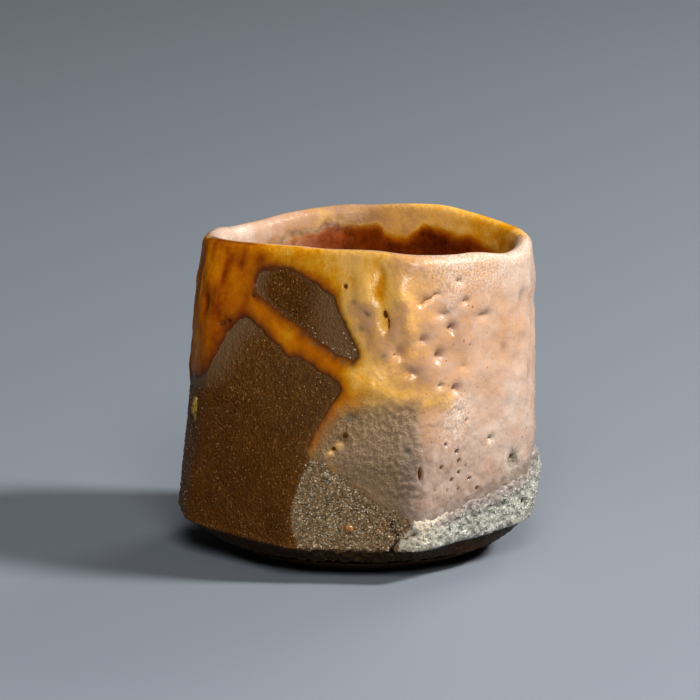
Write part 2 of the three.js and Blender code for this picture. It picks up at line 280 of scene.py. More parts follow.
# How the glaze's tone changes over the cup: azimuth, height, tone and reach. Tone 0 is dark brown, 0.2 rust,
# 0.42 amber, 0.5 gold, 0.6 honey, 0.7 apricot, 0.88 peach and 1 pale pink.
OUTER_TONES = [
    (-88, 52, 0.34, 8),
    (-88, 38, 0.4, 8),
    (-72, 55, 0.38, 6),
    (-64, 46, 0.3, 6),
    (-58, 51, 0.4, 6),
    (-42, 56, 0.5, 6),
    (-25, 57, 0.51, 6),
    (-25, 53.5, 0.45, 4),
    (-10, 56, 0.57, 5),
    (-34, 46, 0.45, 5),
    (-14, 41, 0.42, 5),
    (-3, 55, 0.58, 5),
    (-1, 49.5, 0.72, 4),
    (1, 46.5, 0.78, 4),
    (4, 42, 0.75, 4),
    (8, 54, 0.58, 3),
    (8, 50, 0.57, 3),
    (4, 36.5, 0.6, 4),
    (-3, 35, 0.4, 3),
    (13, 53, 0.62, 4),
    (15, 47, 0.66, 4),
    (12, 41, 0.73, 4),
    (22, 47, 0.76, 4),
    (15, 35.4, 0.71, 3),
    (24, 34, 0.74, 3),
    (18, 38.8, 0.74, 4),
    (28, 38, 0.79, 4),
    (25, 52, 0.78, 5),
    (34, 47, 0.79, 5),
    (32, 42, 0.8, 5),
    (42, 36, 0.85, 6),
    (25, 25, 0.86, 5),
    (38, 24, 0.88, 6),
    (45, 46, 0.8, 5),
    (52, 50, 0.79, 4),
    (55, 39, 0.79, 6),
    (45, 55, 0.8, 5),
    (62, 55, 0.88, 6),
    (60, 27, 0.9, 6),
    (61, 31, 0.98, 4),
    (72, 40, 0.84, 6),
    (72, 50, 0.85, 6),
    (88, 50, 0.88, 8),
    (85, 30, 0.86, 8),
    (104, 48, 0.82, 9),
    (104, 28, 0.78, 9),
    (120, 45, 0.72, 12),
    (120, 22, 0.6, 12),
    (155, 40, 0.48, 14),
    (180, 48, 0.42, 12),
    (180, 28, 0.3, 12),
    (-150, 42, 0.34, 14),
    (-118, 46, 0.36, 12),
    (-118, 28, 0.24, 10),
]

# The inside, each by azimuth: how far the light glaze runs down from the lip, its tone, and the tone of the
# dark glaze below
INNER_APRON = [
    (-180, 3.4), (-166, 2.3), (-152, 2.2), (-140, 4.4), (-128, 7), (-110, 11), (-85, 10),
    (-60, 3), (0, 2.5), (80, 6), (95, 9), (108, 7), (119, 5), (127, 4.2), (135, 4.6), (144, 3.8),
    (150, 3.4), (154, 4.8), (159, 5.6), (164, 5.6), (168, 4.8), (172, 3.2),
]
INNER_RIM = [
    (-180, 0.7), (-165, 0.72), (-150, 0.8), (-135, 0.9), (-100, 0.96), (-60, 0.93), (0, 0.85),
    (60, 0.95), (80, 0.93), (103, 0.56), (112, 0.5), (125, 0.51), (142, 0.57), (152, 0.62),
    (160, 0.63), (170, 0.67),
]
INNER_POOL = [
    (-180, 0.13), (-165, 0.11), (-150, 0.27), (-135, 0.44), (-110, 0.75), (-85, 0.7), (-60, 0.3),
    (0, 0.15), (60, 0.15), (100, 0.22), (130, 0.09), (160, 0.08),
]

# Colours of small marks on the glaze, the clay and the ash, with painted shade in the pit colour, a painted
# highlight in the arris colour and partly painted glints in the frost
FROST = (0.66, 0.6, 0.53)
FALLEN_ASH = (0.14, 0.137, 0.088)
EDGE_BROWN = (0.085, 0.026, 0.012)
PIT_AND_SHADE_BROWN = (0.035, 0.011, 0.004)
DARK_MAUVE = (0.155, 0.108, 0.092)
LIGHT_MAUVE = (0.31, 0.24, 0.21)
OLIVE_CLAY = (0.15, 0.088, 0.036)
BRIGHT_CLAY = (0.3, 0.15, 0.025)
SMOOTH_CLAY = (0.17, 0.108, 0.058)
RUST_CLAY = (0.3, 0.11, 0.012)
ARRIS_HIGHLIGHT_CLAY = (0.28, 0.12, 0.03)
MAUVE_ASH = (0.21, 0.165, 0.15)
BROWN_ASH = (0.55, 0.47, 0.36)

# Colours of loose grains from dark to bright, and of the drip and the stone
GRIT = ((0.06, 0.025, 0.004), (0.2, 0.1, 0.026), (0.42, 0.27, 0.1))
# The pale grains are painted highlights on the low slice, where their pale colour stands in for glints; along
# the window they are the clay's own pale grains
PALE_GLINT_GRIT = ((0.1, 0.07, 0.035), (0.27, 0.205, 0.125), (0.55, 0.48, 0.37))
ASH_CRUMBS = ((0.05, 0.046, 0.032), (0.32, 0.32, 0.27), (0.6, 0.6, 0.54))
DRIP = ((0.15, 0.08, 0.008), (0.34, 0.24, 0.045))
STONE = ((0.13, 0.045, 0.008), (0.38, 0.18, 0.04))

# Loose grains: how many lie on a square metre, and their smallest and largest radius
GRIT_AMOUNT = (3.6e6, (0.05, 0.14))
PALE_GLINT_GRIT_AMOUNT = (8e6, (0.06, 0.19))
ASH_CRUMB_AMOUNT = (5e6, (0.08, 0.22))

# Lamps: name, place and size in metres, power and colour
LAMPS = [
    ("key", (0.8, -0.14, 0.76), 0.2, 14.8, (1.0, 0.96, 0.9)),
    ("front", (0.05, -0.8, 0.62), 0.45, 7.3, (1.0, 0.97, 0.93)),
    ("back", (0.5, 0.7, 0.5), 0.4, 2.5, (1.0, 0.97, 0.93)),
]
LAMP_AIM = (0, 0, 0.03)
FLOOR_SIZE = 6.0
WORLD_COLOUR = (0.55, 0.53, 0.5, 1.0)
WORLD_STRENGTH = 0.06

# The camera's height over the horizon in degrees, its lens, and the place it looks at: how far right of the
# foot's middle, and how high
CAMERA_ELEVATION = 12.4
CAMERA_LENS = 284.5
CAMERA_AIM = (-1.82, 36.0)

# How far the outer coats and the lining reach into the clay's skin, and the thinnest glaze inside its edge
COAT_DEPTH = 0.5
LINING_DEPTH = 0.4
THINNEST_GLAZE = 0.1

# The coats are kept down to this height over the clay's skin
GLAZE_KEPT = -0.06
CRUST_KEPT = -0.05

# Mesh fineness
FOOT_COLUMNS = 240
FOOT_STEPS = 8
CRUST_ROWS = 71
OUTER_COLUMNS = 560
WALL_ROWS = 171
LIP_ROWS = 16
UNDER_ROWS = 4
CLAY_COLUMNS = 420
CLAY_WALL_ROWS = 150
FRONT_FINENESS = 0.42

# Start of every random draw, and how flat and how round a grain may be
SEED = 7
FLATTEST = (0.7, 0.7, 0.5)
ROUNDEST = (1.2, 1.2, 0.9)


def length(name, description, millimetres):
    """A length that the panel shows."""
    return FloatProperty(name=name, description=description, default=millimetres * MM, unit="LENGTH")


class CupForm(bpy.types.PropertyGroup):
    """Sizes of the carved body"""

    base_radius: length("Base radius", "Radius of the thrown form at its lower arris", 33.2)
    rim_radius: length("Rim radius", "Radius of the thrown form at its lip", 29.8)
    rim_shift: length("Rim shift", "How far the lip's middle lies to the right of the foot's", 1.7)
    arris_height: length("Arris height", "Height of the lower arris over the table", 6)
    lip_height: length("Lip height", "Height of the clay's lip before its unevenness", 57)
    lip_wall: length("Lip wall", "Wall at the lip", 3.2)
    cut_wall: length("Cut wall", "Wall at the lip where a cut has thinned it", 1.6)
    lip_round: length("Lip round", "Height of the lip's rounding", 1.6)
    floor_wall: length("Floor wall", "Wall at the height of the arris", 5.5)
    floor_thickness: length("Floor thickness", "Clay between the foot's seat and the well", 6.5)
    floor_fillet: length("Floor fillet", "Round between the well's wall and its floor", 9)
    foot_outer: length("Foot outer radius", "Outer radius of the foot ring on the table", 20)
    foot_inner: length("Foot inner radius", "Inner radius of the foot ring on the table", 14.5)


def colour(name, description, default):
    """A colour that the panel shows."""
    return FloatVectorProperty(
        name=name,
        description=description,
        subtype="COLOR",
        size=3,
        min=0.0,
        max=1.0,
        default=default,
    )


class CupColours(bpy.types.PropertyGroup):
    """Colours of the glaze, the clay, the ash and the floor"""

    pool: colour("Pooled glaze", "Glaze at its darkest, deep inside", (0.06, 0.007, 0.001))
    rust: colour("Rust", "Red-brown glaze", (0.26, 0.058, 0.004))
    amber: colour("Amber", "Amber glaze on the left", (0.5, 0.17, 0.003))
    gold: colour("Gold", "Golden glaze on the upper front", (0.6, 0.28, 0.012))
    honey: colour("Honey", "Thick honey glaze on the front", (0.73, 0.43, 0.12))
    apricot: colour("Apricot", "Glaze between honey and salmon", (0.53, 0.29, 0.12))
    salmon: colour("Salmon", "Glaze between apricot and peach", (0.45, 0.268, 0.165))
    peach: colour("Peach", "Glaze on the right", (0.47, 0.325, 0.245))
    pale: colour("Pale glaze", "Frosted glaze at the lip", (0.52, 0.43, 0.37))
    thin_glaze: colour("Thin glaze", "Dry glaze on the front", (0.23, 0.155, 0.085))
    clay: colour("Clay", "Bare clay", (0.135, 0.048, 0.002))
    grey_clay: colour("Grey clay", "Bare clay of the low slice", (0.27, 0.182, 0.098))
    ash: colour("Ash", "Crust of fly ash", (0.32, 0.32, 0.285))
    floor: colour("Floor", "Floor under the cup", (0.205, 0.235, 0.28))


def smooth(value):
    """Ease from 0 to 1."""
    value = np.clip(value, 0.0, 1.0)
    return value * value * (3 - 2 * value)


def ramp(value, low, high):
    """Ease from 0 where the value is low to 1 where it is high."""
    return smooth((value - low) / (high - low))


def fall(value, low, high):
    """Ease from 1 where the value is low to 0 where it is high."""
    return ramp(-value, -high, -low)


def span(value, start, full, ebb, end):
    """Ease up from a start to where it is full, and down again from an ebb to an end."""
    return ramp(value, start, full) * fall(value, ebb, end)


def bell(offset, width):
    """A soft bump round zero."""
    return np.exp(-((offset / width) ** 2))


def table_at(table, azimuth):
    """The value of a table of azimuths at any azimuth, eased from each entry to the next."""
    stops = np.array(list(table) + [(table[0][0] + 360, table[0][1])], float)
    index = np.clip(np.searchsorted(stops[:, 0], azimuth, side="right"), 1, len(stops) - 1)
    before, low = stops[index - 1, 0], stops[index - 1, 1]
    after, high = stops[index, 0], stops[index, 1]
    return low + (high - low) * ramp(azimuth, before, after)


def blended_min(first, second, width):
    """The smaller of two radii, rounded where they meet."""
    overlap = np.maximum(width - np.abs(first - second), 0) / width
    return np.minimum(first, second) - overlap * overlap * width / 4


def grain(points, size, octaves=1, shift=0.0):
    """Noise from about -1 to 1 on an array of points, with features of a size."""
    flat = (points.reshape(-1, 3) / size + shift).tolist()
    if octaves == 1:
        values = [noise.noise(point) for point in flat]
    else:
        values = [noise.fractal(point, 0.8, 2.1, octaves) for point in flat]
    return np.array(values).reshape(points.shape[:-1])


def around(azimuth, radius, height):
    """Points at azimuths, radii and heights."""
    turn = np.radians(azimuth)
    height = height + np.zeros_like(radius)
    return np.stack([radius * np.sin(turn), -radius * np.cos(turn), height], -1)


def normals_of(points):
    """Outward directions on a grid of points that closes on itself round the cup."""
    across = np.roll(points, -1, axis=1) - np.roll(points, 1, axis=1)
    along = np.gradient(points, axis=0)
    normal = np.cross(across, along)
    return normal / np.maximum(np.linalg.norm(normal, axis=-1, keepdims=True), 1e-9)


def column_azimuths(count):
    """Azimuths of a grid's columns, closer together at the front."""
    turn = 2 * np.pi * np.arange(count) / count - np.pi
    return np.degrees(turn - FRONT_FINENESS * np.sin(turn))


class Form:
    """The carved body in millimetres, on arrays of azimuths and heights."""

    def __init__(self, sizes):
        for name in CupForm.__annotations__:
            setattr(self, name, getattr(sizes, name) / MM)
        self.seat = FOOT_TOP + SEAT_GAP
        self.floor = self.seat + self.floor_thickness
        self.under_slope = self.arris_height / (self.base_radius - self.foot_outer)
        self.seat_radius = self.foot_outer + self.seat / self.under_slope

    def shoulder(self, azimuth):
        return self.lip_height + table_at(LIP_RISE, azimuth) - self.lip_round

    def arris(self, azimuth):
        return self.arris_height + table_at(ARRIS_RISE, azimuth)

    def share(self, azimuth, height):
        return (height - self.arris_height) / (self.shoulder(azimuth) - self.arris_height)

    def thrown(self, azimuth, height):
        share = self.share(azimuth, height)
        radius = self.base_radius + (self.rim_radius - self.base_radius) * share
        shift = self.rim_shift * share
        along = shift * np.sin(np.radians(azimuth))
        return along + np.sqrt(radius**2 - shift**2 + along**2)

    def body(self, azimuth, height):
        radius = self.thrown(azimuth, height)
        rise = height - self.arris_height
        upper = ramp(self.share(azimuth, height), 0.58, 0.72)
        for cut_azimuth, bite, lean, twist, low_edge, high_edge in CUTS:
            turned = cut_azimuth + twist * np.clip(rise, 0, TWIST_RISE)
            facing = np.maximum(np.cos(np.radians(azimuth - turned)), 0.05)
            cut = (self.base_radius - bite - rise * math.tan(math.radians(lean))) / facing
            radius = blended_min(radius, cut, low_edge + (high_edge - low_edge) * upper)
        return radius

    def well(self, azimuth, height):
        share = np.clip(self.share(azimuth, height), 0, 1)
        thick = self.floor_wall + (self.lip_wall - self.floor_wall) * share
        thin = self.floor_wall + (self.cut_wall - self.floor_wall) * share
        thrown = self.thrown(azimuth, height) - thick
        return blended_min(thrown, self.body(azimuth, height) - thin, 2.0)

    def wall_row(self, azimuth, share):
        arris = self.arris(azimuth)
        height = arris + (self.shoulder(azimuth) - arris) * share
        return around(azimuth, self.body(azimuth, height), height)

    def lip_row(self, azimuth, turn):
        height = self.shoulder(azimuth) + self.lip_round * math.sin(turn)
        outside = self.body(azimuth, height)
        inside = self.well(azimuth, height)
        return around(azimuth, inside + (outside - inside) * (1 + math.cos(turn)) / 2, height)

    def well_row(self, azimuth, share):
        bottom = self.floor + self.floor_fillet
        height = self.shoulder(azimuth) + (bottom - self.shoulder(azimuth)) * share
        return around(azimuth, self.well(azimuth, height), height)

    def fillet_row(self, azimuth, turn):
        bottom = self.floor + self.floor_fillet
        middle = self.well(azimuth, bottom + 0 * azimuth) - self.floor_fillet
        radius = middle + self.floor_fillet * math.cos(turn)
        return around(azimuth, radius, bottom - self.floor_fillet * math.sin(turn))

    def floor_row(self, azimuth, share):
        bottom = self.floor + self.floor_fillet
        middle = self.well(azimuth, bottom + 0 * azimuth) - self.floor_fillet
        return around(azimuth, middle * share, self.floor)

    def under_row(self, azimuth, inwards):
        arris = self.arris(azimuth)
        radius = self.body(azimuth, arris)
        slope = (arris - self.seat) / (radius - self.seat_radius)
        return around(azimuth, radius - inwards, arris - inwards * slope)

    def outer_grid(self, azimuth):
        """The outside from under the arris to the top of the well."""
        rows = [self.under_row(azimuth, step) for step in np.linspace(2.0, 0.15, UNDER_ROWS)]
        rows += [self.wall_row(azimuth, share) for share in np.linspace(0.002, 1, WALL_ROWS)]
        rows += [self.lip_row(azimuth, turn) for turn in np.linspace(0, np.pi, LIP_ROWS + 1)[1:]]
        over_lip = (np.arange(len(rows))[:, None] - UNDER_ROWS - WALL_ROWS + 1) / LIP_ROWS
        outside = 1 - ramp(over_lip, -0.2, 0.45)
        return uneven(azimuth, np.array(rows), outside)


def uneven(azimuth, points, outside):
    """Hand-made unevenness of the wall, with the dents that clay and glaze share outside."""
    push = 0.16 * grain(points, 11.0, shift=3.7)
    side_dents = stray_places(60, (78, 262), (20, 56), (0.8, 1.8), (0.9, 2.4), (-0.3, 0.5), salt=2)
    for (_, _, wide, tall, depth), across, up in offsets(azimuth, points, DENTS + side_dents):
        push -= outside * depth * np.exp(-((across / wide) ** 2) - (up / tall) ** 2)
    return points + normals_of(points) * push[..., None]


def outline_distance(outline, x, z):
    """Distance outside a smooth closed outline, negative inside."""
    corners = np.array(outline, float)
    before, after, beyond = np.roll(corners, 1, 0), np.roll(corners, -1, 0), np.roll(corners, -2, 0)
    curve = []
    for step in np.linspace(0, 1, 4, endpoint=False):
        weights = (
            -0.5 * step + step**2 - 0.5 * step**3,
            1 - 2.5 * step**2 + 1.5 * step**3,
            0.5 * step + 2 * step**2 - 1.5 * step**3,
            -0.5 * step**2 + 0.5 * step**3,
        )
        curve.append(sum(w * p for w, p in zip(weights, (before, corners, after, beyond))))
    curve = np.stack(curve, 1).reshape(-1, 2)
    nearest = np.full(x.shape, 1e9)
    inside = np.zeros(x.shape, bool)
    for (x0, z0), (x1, z1) in zip(curve, np.roll(curve, -1, 0)):
        squared = (x1 - x0) ** 2 + (z1 - z0) ** 2
        along = np.clip(((x - x0) * (x1 - x0) + (z - z0) * (z1 - z0)) / squared, 0, 1)
        nearest = np.minimum(nearest, np.hypot(x - x0 - along * (x1 - x0), z - z0 - along * (z1 - z0)))
        if z0 != z1:
            crosses = ((z0 > z) != (z1 > z)) & (x < (x1 - x0) * (z - z0) / (z1 - z0) + x0)
            inside ^= crosses
    return np.where(inside, -nearest, nearest)


def glaze_cover(azimuth, points):
    """Distance inside the glaze's edge, negative on bare clay."""
    x = points[..., 0] + 0.35 * grain(points, 2.2, 2, shift=11.0)
    z = points[..., 2] + 0.35 * grain(points, 2.2, 2, shift=23.0)
    cover = (z - table_at(GLAZE_EDGE, azimuth) + 0.6 * grain(points, 5.0, shift=31.0)) * 0.8
    front = points[..., 1] < 1.0
    bare = np.minimum(
        outline_distance(BARE_FRONT, x[front], z[front]),
        outline_distance(BARE_WINDOW, x[front], z[front]),
    )
    cover[front] = np.minimum(cover[front], bare)
    return cover


def offsets(azimuth, points, places):
    """For each place, how far every point lies to its right and over it."""
    radius = np.hypot(points[..., 0], points[..., 1])
    for place in places:
        swing = (azimuth - place[0] + 180) % 360 - 180
        yield place, np.radians(swing) * radius, points[..., 2] - place[1]


def spots(azimuth, points, places):
    """For each place, the distance of every point from it."""
    for place, across, up in offsets(azimuth, points, places):
        yield place, np.hypot(across, up)


def tone_at(azimuth, points, tones):
    """The glaze's tone, eased between the places where it is set."""
    total = np.full(points.shape[:-1], 1e-9)
    weighted = np.zeros(points.shape[:-1])
    for (_, _, tone, reach), away in spots(azimuth, points, tones):
        weight = bell(away, reach) + 1e-5 / (1 + away)
        total += weight
        weighted += weight * tone
    return weighted / total


def mesh_object(name, points, faces, attributes, material):
    """A smooth mesh at the cup's place, with a value of each attribute at every point."""
    mesh = bpy.data.meshes.new(name)
    place = points * MM + np.array([AXIS[0], AXIS[1], 0.0])
    mesh.from_pydata(place.tolist(), [], faces)
    for key, values in attributes.items():
        layer = mesh.attributes.new(key, "FLOAT", "POINT")
        layer.data.foreach_set("value", np.ascontiguousarray(values, dtype=np.float32).ravel())
    mesh.materials.append(material)
    mesh.shade_smooth()
    mesh.update()
    piece = bpy.data.objects.new(name, mesh)
    bpy.context.scene.collection.objects.link(piece)
    return piece


def grid_quads(index):
    """Quads between the rows of a grid that closes on itself round the cup."""
    right = np.roll(index, -1, axis=1)
    return np.stack([index[:-1], right[:-1], right[1:], index[1:]], -1)


def grid_faces(rows, columns, wrap_rows=False):
    """The quads of a whole grid, whose last row may also join its first."""
    index = np.arange(rows * columns).reshape(rows, columns)
    if wrap_rows:
        index = np.vstack([index, index[:1]])
    return grid_quads(index).reshape(-1, 4).tolist()


def cup_solid(name, points, attributes, material, sharp_row=None):
    """A closed solid over a grid whose first and last rows are closed to a point on the axis."""
    rows, columns = points.shape[:2]
    faces = grid_faces(rows, columns)
    low, high = rows * columns, rows * columns + 1
    last = (rows - 1) * columns
    for column in range(columns):
        after = (column + 1) % columns
        faces.append([low, after, column])
        faces.append([high, last + column, last + after])
    poles = np.array([points[0].mean(0), points[-1].mean(0)])
    values = {}
    for key, grid in attributes.items():
        values[key] = np.concatenate([grid.ravel(), [grid[0].mean(), grid[-1].mean()]])
    places = np.vstack([points.reshape(-1, 3), poles])
    piece = mesh_object(name, places, faces, values, material)
    if sharp_row is not None:
        ring = np.arange(columns) + sharp_row * columns
        sharpen(piece.data, np.stack([ring, np.roll(ring, -1)], -1))
    return piece


def open_corners(kept):
    """Kept blocks with the corner-to-corner contacts filled, so that a shell round them stays closed."""
    while True:
        right = np.roll(kept, -1, axis=1)
        rising = kept[:-1] & right[1:] & ~right[:-1] & ~kept[1:]
        falling = right[:-1] & kept[1:] & ~kept[:-1] & ~right[1:]
        if not (rising | falling).any():
            return kept
        kept[:-1] |= falling
        kept[1:] |= rising


def shell(name, top, bottom, wanted, attributes, material):
    """A closed shell over the wanted points of a grid: fine on top, with one face under each 2 by 2 block."""
    rows, columns = top.shape[:2]
    cells = wanted[:-1] | wanted[1:]
    cells = cells | np.roll(cells, -1, axis=1)
    kept = open_corners(cells[0::2, 0::2] | cells[1::2, 0::2] | cells[0::2, 1::2] | cells[1::2, 1::2])
    index = np.arange(rows * columns).reshape(rows, columns)
    under = index + rows * columns
    fine = np.repeat(np.repeat(kept, 2, axis=0), 2, axis=1)
    faces = grid_quads(index)[fine].reshape(-1, 4).tolist()
    rims = []
    height, width = kept.shape
    for row, column in np.argwhere(kept):
        i, j = 2 * row, 2 * column
        mid, far = j + 1, (j + 2) % columns
        faces.append([under[i, j], under[i + 2, j], under[i + 2, far], under[i, far]])
        sides = (
            (row == 0 or not kept[row - 1, column], (i, far), (i, mid), (i, j)),
            (row == height - 1 or not kept[row + 1, column], (i + 2, j), (i + 2, mid), (i + 2, far)),
            (not kept[row, (column + 1) % width], (i + 2, far), (i + 1, far), (i, far)),
            (not kept[row, column - 1], (i, j), (i + 1, j), (i + 2, j)),
        )
        for is_open, start, middle, end in sides:
            if is_open:
                rims.append((index[start], index[middle], index[end], under[end], under[start]))
    faces += rims
    points = np.vstack([top.reshape(-1, 3), bottom.reshape(-1, 3)])
    used = np.unique(np.concatenate([np.array(face) for face in faces]))
    renumber = np.zeros(len(points), int)
    renumber[used] = np.arange(len(used))
    faces = [renumber[list(face)].tolist() for face in faces]
    values = {}
    for key, grid in attributes.items():
        whole = np.broadcast_to(grid, (rows, columns)).ravel()
        values[key] = np.concatenate([whole, whole])[used]
    piece = mesh_object(name, points[used], faces, values, material)
    rims = renumber[np.array(rims)]
    sharpen(piece.data, np.vstack([rims[:, 0:2], rims[:, 1:3]]))
    return piece


def sharpen(mesh, edges):
    """Keep the shading on both sides of some edges apart."""
    wanted = {tuple(sorted(edge)) for edge in edges.tolist()}
    layer = mesh.attributes.new("sharp_edge", "BOOLEAN", "EDGE")
    layer.data.foreach_set("value", [tuple(sorted(edge.vertices)) in wanted for edge in mesh.edges])


def settle(piece, node):
    """Tell the frame which node a piece stands for and which finish it has."""
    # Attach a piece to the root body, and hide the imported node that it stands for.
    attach(piece, "root")
    if node:
        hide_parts(node)


class Nodes:
    """Adds nodes to a tree and joins their sockets."""

    def __init__(self, tree):
        self.tree = tree

    def add(self, kind, inputs=None, **settings):
        node = self.tree.nodes.new(kind)
        for key, value in settings.items():
            setattr(node, key, value)
        for key, value in (inputs or {}).items():
            self.join(value, node.inputs[key])
        return node

    def join(self, value, socket):
        if isinstance(value, bpy.types.NodeSocket):
            self.tree.links.new(value, socket)
        else:
            socket.default_value = value


class Finish(Nodes):
    """Builds one material's nodes around a Principled shader."""

    def __init__(self, name):
        self.material = bpy.data.materials.new(name)
        self.material.use_nodes = True
        super().__init__(self.material.node_tree)
        self.shader = self.tree.nodes["Principled BSDF"]
        self.place = self.add("ShaderNodeTexCoord").outputs["Object"]

    def value_of(self, name):
        return self.add("ShaderNodeAttribute", attribute_name=name).outputs["Fac"]

    def grain(self, size, detail=2.0, roughness=0.5, distortion=0.0):
        inputs = {"Vector": self.place, "Scale": 1 / (size * MM), "Detail": detail}
        inputs |= {"Roughness": roughness, "Distortion": distortion}
        return self.add("ShaderNodeTexNoise", inputs).outputs["Fac"]

    def cells(self, size):
        inputs = {"Vector": self.place, "Scale": 1 / (size * MM)}
        return self.add("ShaderNodeTexVoronoi", inputs).outputs["Distance"]

    def math(self, operation, first, second=0.0):
        return self.add("ShaderNodeMath", {0: first, 1: second}, operation=operation).outputs["Value"]

    def band(self, value, low, high, to_low=0.0, to_high=1.0):
        inputs = {"Value": value, "From Min": low, "From Max": high, "To Min": to_low, "To Max": to_high}
        return self.add("ShaderNodeMapRange", inputs, interpolation_type="SMOOTHSTEP").outputs["Result"]

    def ramp(self, value, stops):
        node = self.add("ShaderNodeValToRGB", {"Fac": value})
        elements = node.color_ramp.elements
        while len(elements) < len(stops):
            elements.new(1.0)
        for element, (position, color) in zip(elements, stops):
            element.position = position
            element.color = (*color, 1.0)
        return node.outputs["Color"]

    def solid(self, color):
        return color if isinstance(color, bpy.types.NodeSocket) else (*color, 1.0)

    def mix(self, share, first, second):
        inputs = {0: share, 6: self.solid(first), 7: self.solid(second)}
        return self.add("ShaderNodeMix", inputs, data_type="RGBA").outputs[2]

    def bump(self, height, distance, strength=1.0, before=None):
        inputs = {"Height": height, "Distance": distance * MM, "Strength": strength}
        if before:
            inputs["Normal"] = before
        return self.add("ShaderNodeBump", inputs).outputs["Normal"]

    def set(self, **sockets):
        for key, value in sockets.items():
            self.join(value, self.shader.inputs[key.replace("_", " ")])
        return self.material


# Where the glaze's colours lie on its range of tones
GLAZE_STOPS = (
    (0.0, "pool"),
    (0.2, "rust"),
    (0.42, "amber"),
    (0.5, "gold"),
    (0.6, "honey"),
    (0.7, "apricot"),
    (0.78, "salmon"),
    (0.88, "peach"),
    (1.0, "pale"),
)


def shade(color, share):
    """A colour made darker or lighter by a share."""
    return tuple(min(share * part, 1.0) for part in color)


def glaze_finish(name, colours):
    """Glossy amber to peach glaze that breaks brown where it is thin and grey where ash fell on it."""
    finish = Finish(name)
    drift = finish.grain(5.0, detail=3.0, roughness=0.55)
    marble = finish.grain(1.6, detail=4.0, roughness=0.6, distortion=0.5)
    fleck = finish.grain(0.8, detail=3.0, roughness=0.6)
    dust = finish.grain(0.32, detail=2.0, roughness=0.6)
    tone = finish.math("ADD", finish.value_of("tone"), finish.band(drift, 0.3, 0.7, -0.045, 0.045))
    tone = finish.math("ADD", tone, finish.band(marble, 0.3, 0.7, -0.03, 0.03))
    tone = finish.math("ADD", tone, finish.band(dust, 0.3, 0.7, -0.02, 0.02))
    color = finish.ramp(tone, [(place, getattr(colours, key)) for place, key in GLAZE_STOPS])
    thin = colours.thin_glaze
    thin_color = finish.ramp(dust, [(0.3, shade(thin, 0.65)), (0.5, thin), (0.7, shade(thin, 1.55))])
    color = finish.mix(finish.value_of("thin"), color, thin_color)
    mauve = finish.ramp(marble, [(0.35, DARK_MAUVE), (0.65, LIGHT_MAUVE)])
    color = finish.mix(finish.value_of("mauve"), color, mauve)
    frost_grain = finish.band(finish.grain(0.42, detail=2.0, roughness=0.75), 0.46, 0.58, 0.0, 0.9)
    frost_and_glint = finish.math("MULTIPLY", finish.value_of("frost_and_glint"), frost_grain)
    # The frost is partly painted highlight: beside the arris its white speckle stands in for glints
    color = finish.mix(frost_and_glint, color, FROST)
    color = finish.mix(finish.value_of("ash"), color, FALLEN_ASH)
    speck = finish.band(finish.cells(2.1), 0.085, 0.05, 0.0, 0.85)
    speck = finish.math("MULTIPLY", speck, finish.value_of("speck"))
    color = finish.mix(speck, color, shade(colours.rust, 0.7))
    color = finish.mix(finish.value_of("halo"), color, EDGE_BROWN)
    # Dark brown in the pinholes, and painted shade in the dents' cores and in the shade patches
    color = finish.mix(finish.value_of("pit_and_shade"), color, PIT_AND_SHADE_BROWN)
    rough = finish.band(fleck, 0.3, 0.7, 0.2, 0.34)
    matte = finish.math("MAXIMUM", finish.value_of("thin"), finish.value_of("frost_and_glint"))
    rough = finish.math("ADD", rough, finish.math("MULTIPLY", matte, 0.25))
    peel = finish.bump(finish.grain(1.4, detail=2.0, roughness=0.5), 0.2, 0.8)
    grit = finish.math("MULTIPLY", dust, finish.math("ADD", finish.math("MULTIPLY", matte, 1.8), 0.12))
    peel = finish.bump(grit, 0.12, 0.8, before=peel)
    gloss = finish.math("MULTIPLY", finish.value_of("gloss"), finish.band(tone, 0.38, 0.62, 0.1, 0.4))
    return finish.set(Base_Color=color, Roughness=rough, Normal=peel, Specular_IOR_Level=gloss)


def clay_finish(name, colours):
    """Dark iron-bearing stoneware with grit, greyer on the low slice and smooth near the glaze, with painted
    shade under the arris, in the crack and on the foot, and a painted highlight along the arris.
    """
    finish = Finish(name)
    clay, grey = colours.clay, colours.grey_clay
    broad = finish.grain(7.0, detail=4.0, roughness=0.6)
    fine = finish.grain(0.45, detail=4.0, roughness=0.7)
    color = finish.ramp(broad, [(0.3, shade(clay, 0.75)), (0.7, shade(clay, 1.25))])
    grey_color = finish.ramp(fine, [(0.35, shade(grey, 0.5)), (0.5, grey), (0.68, shade(grey, 2.0))])
    color = finish.mix(finish.value_of("grey"), color, grey_color)
    color = finish.mix(finish.value_of("olive"), color, OLIVE_CLAY)
    color = finish.mix(finish.band(fine, 0.53, 0.7, 0.0, 0.6), color, BRIGHT_CLAY)
    color = finish.mix(finish.band(fine, 0.46, 0.3, 0.0, 0.75), color, shade(clay, 0.25))
    color = finish.mix(finish.value_of("halo"), color, SMOOTH_CLAY)
    color = finish.mix(finish.value_of("rust"), color, RUST_CLAY)
    # Painted highlight: a lighter line along the lower arris
    arris_highlight = finish.math("MULTIPLY", finish.value_of("arris_highlight"), finish.band(fine, 0.35, 0.6, 0.1, 1.0))
    color = finish.mix(arris_highlight, color, ARRIS_HIGHLIGHT_CLAY)
    # Painted shade: dark under the lower arris, in the crack and on the foot
    color = finish.mix(finish.value_of("shade"), color, shade(clay, 0.25))
    keep = finish.math("SUBTRACT", 1.0, finish.math("MULTIPLY", finish.value_of("halo"), 0.8))
    grit = finish.bump(finish.math("MULTIPLY", finish.cells(0.5), keep), 0.35, 0.9)
    grit = finish.bump(finish.math("MULTIPLY", fine, keep), 0.45, 1.0, before=grit)
    rough = finish.band(fine, 0.3, 0.7, 0.5, 0.26)
    return finish.set(Base_Color=color, Roughness=rough, Normal=grit, Specular_IOR_Level=0.2)


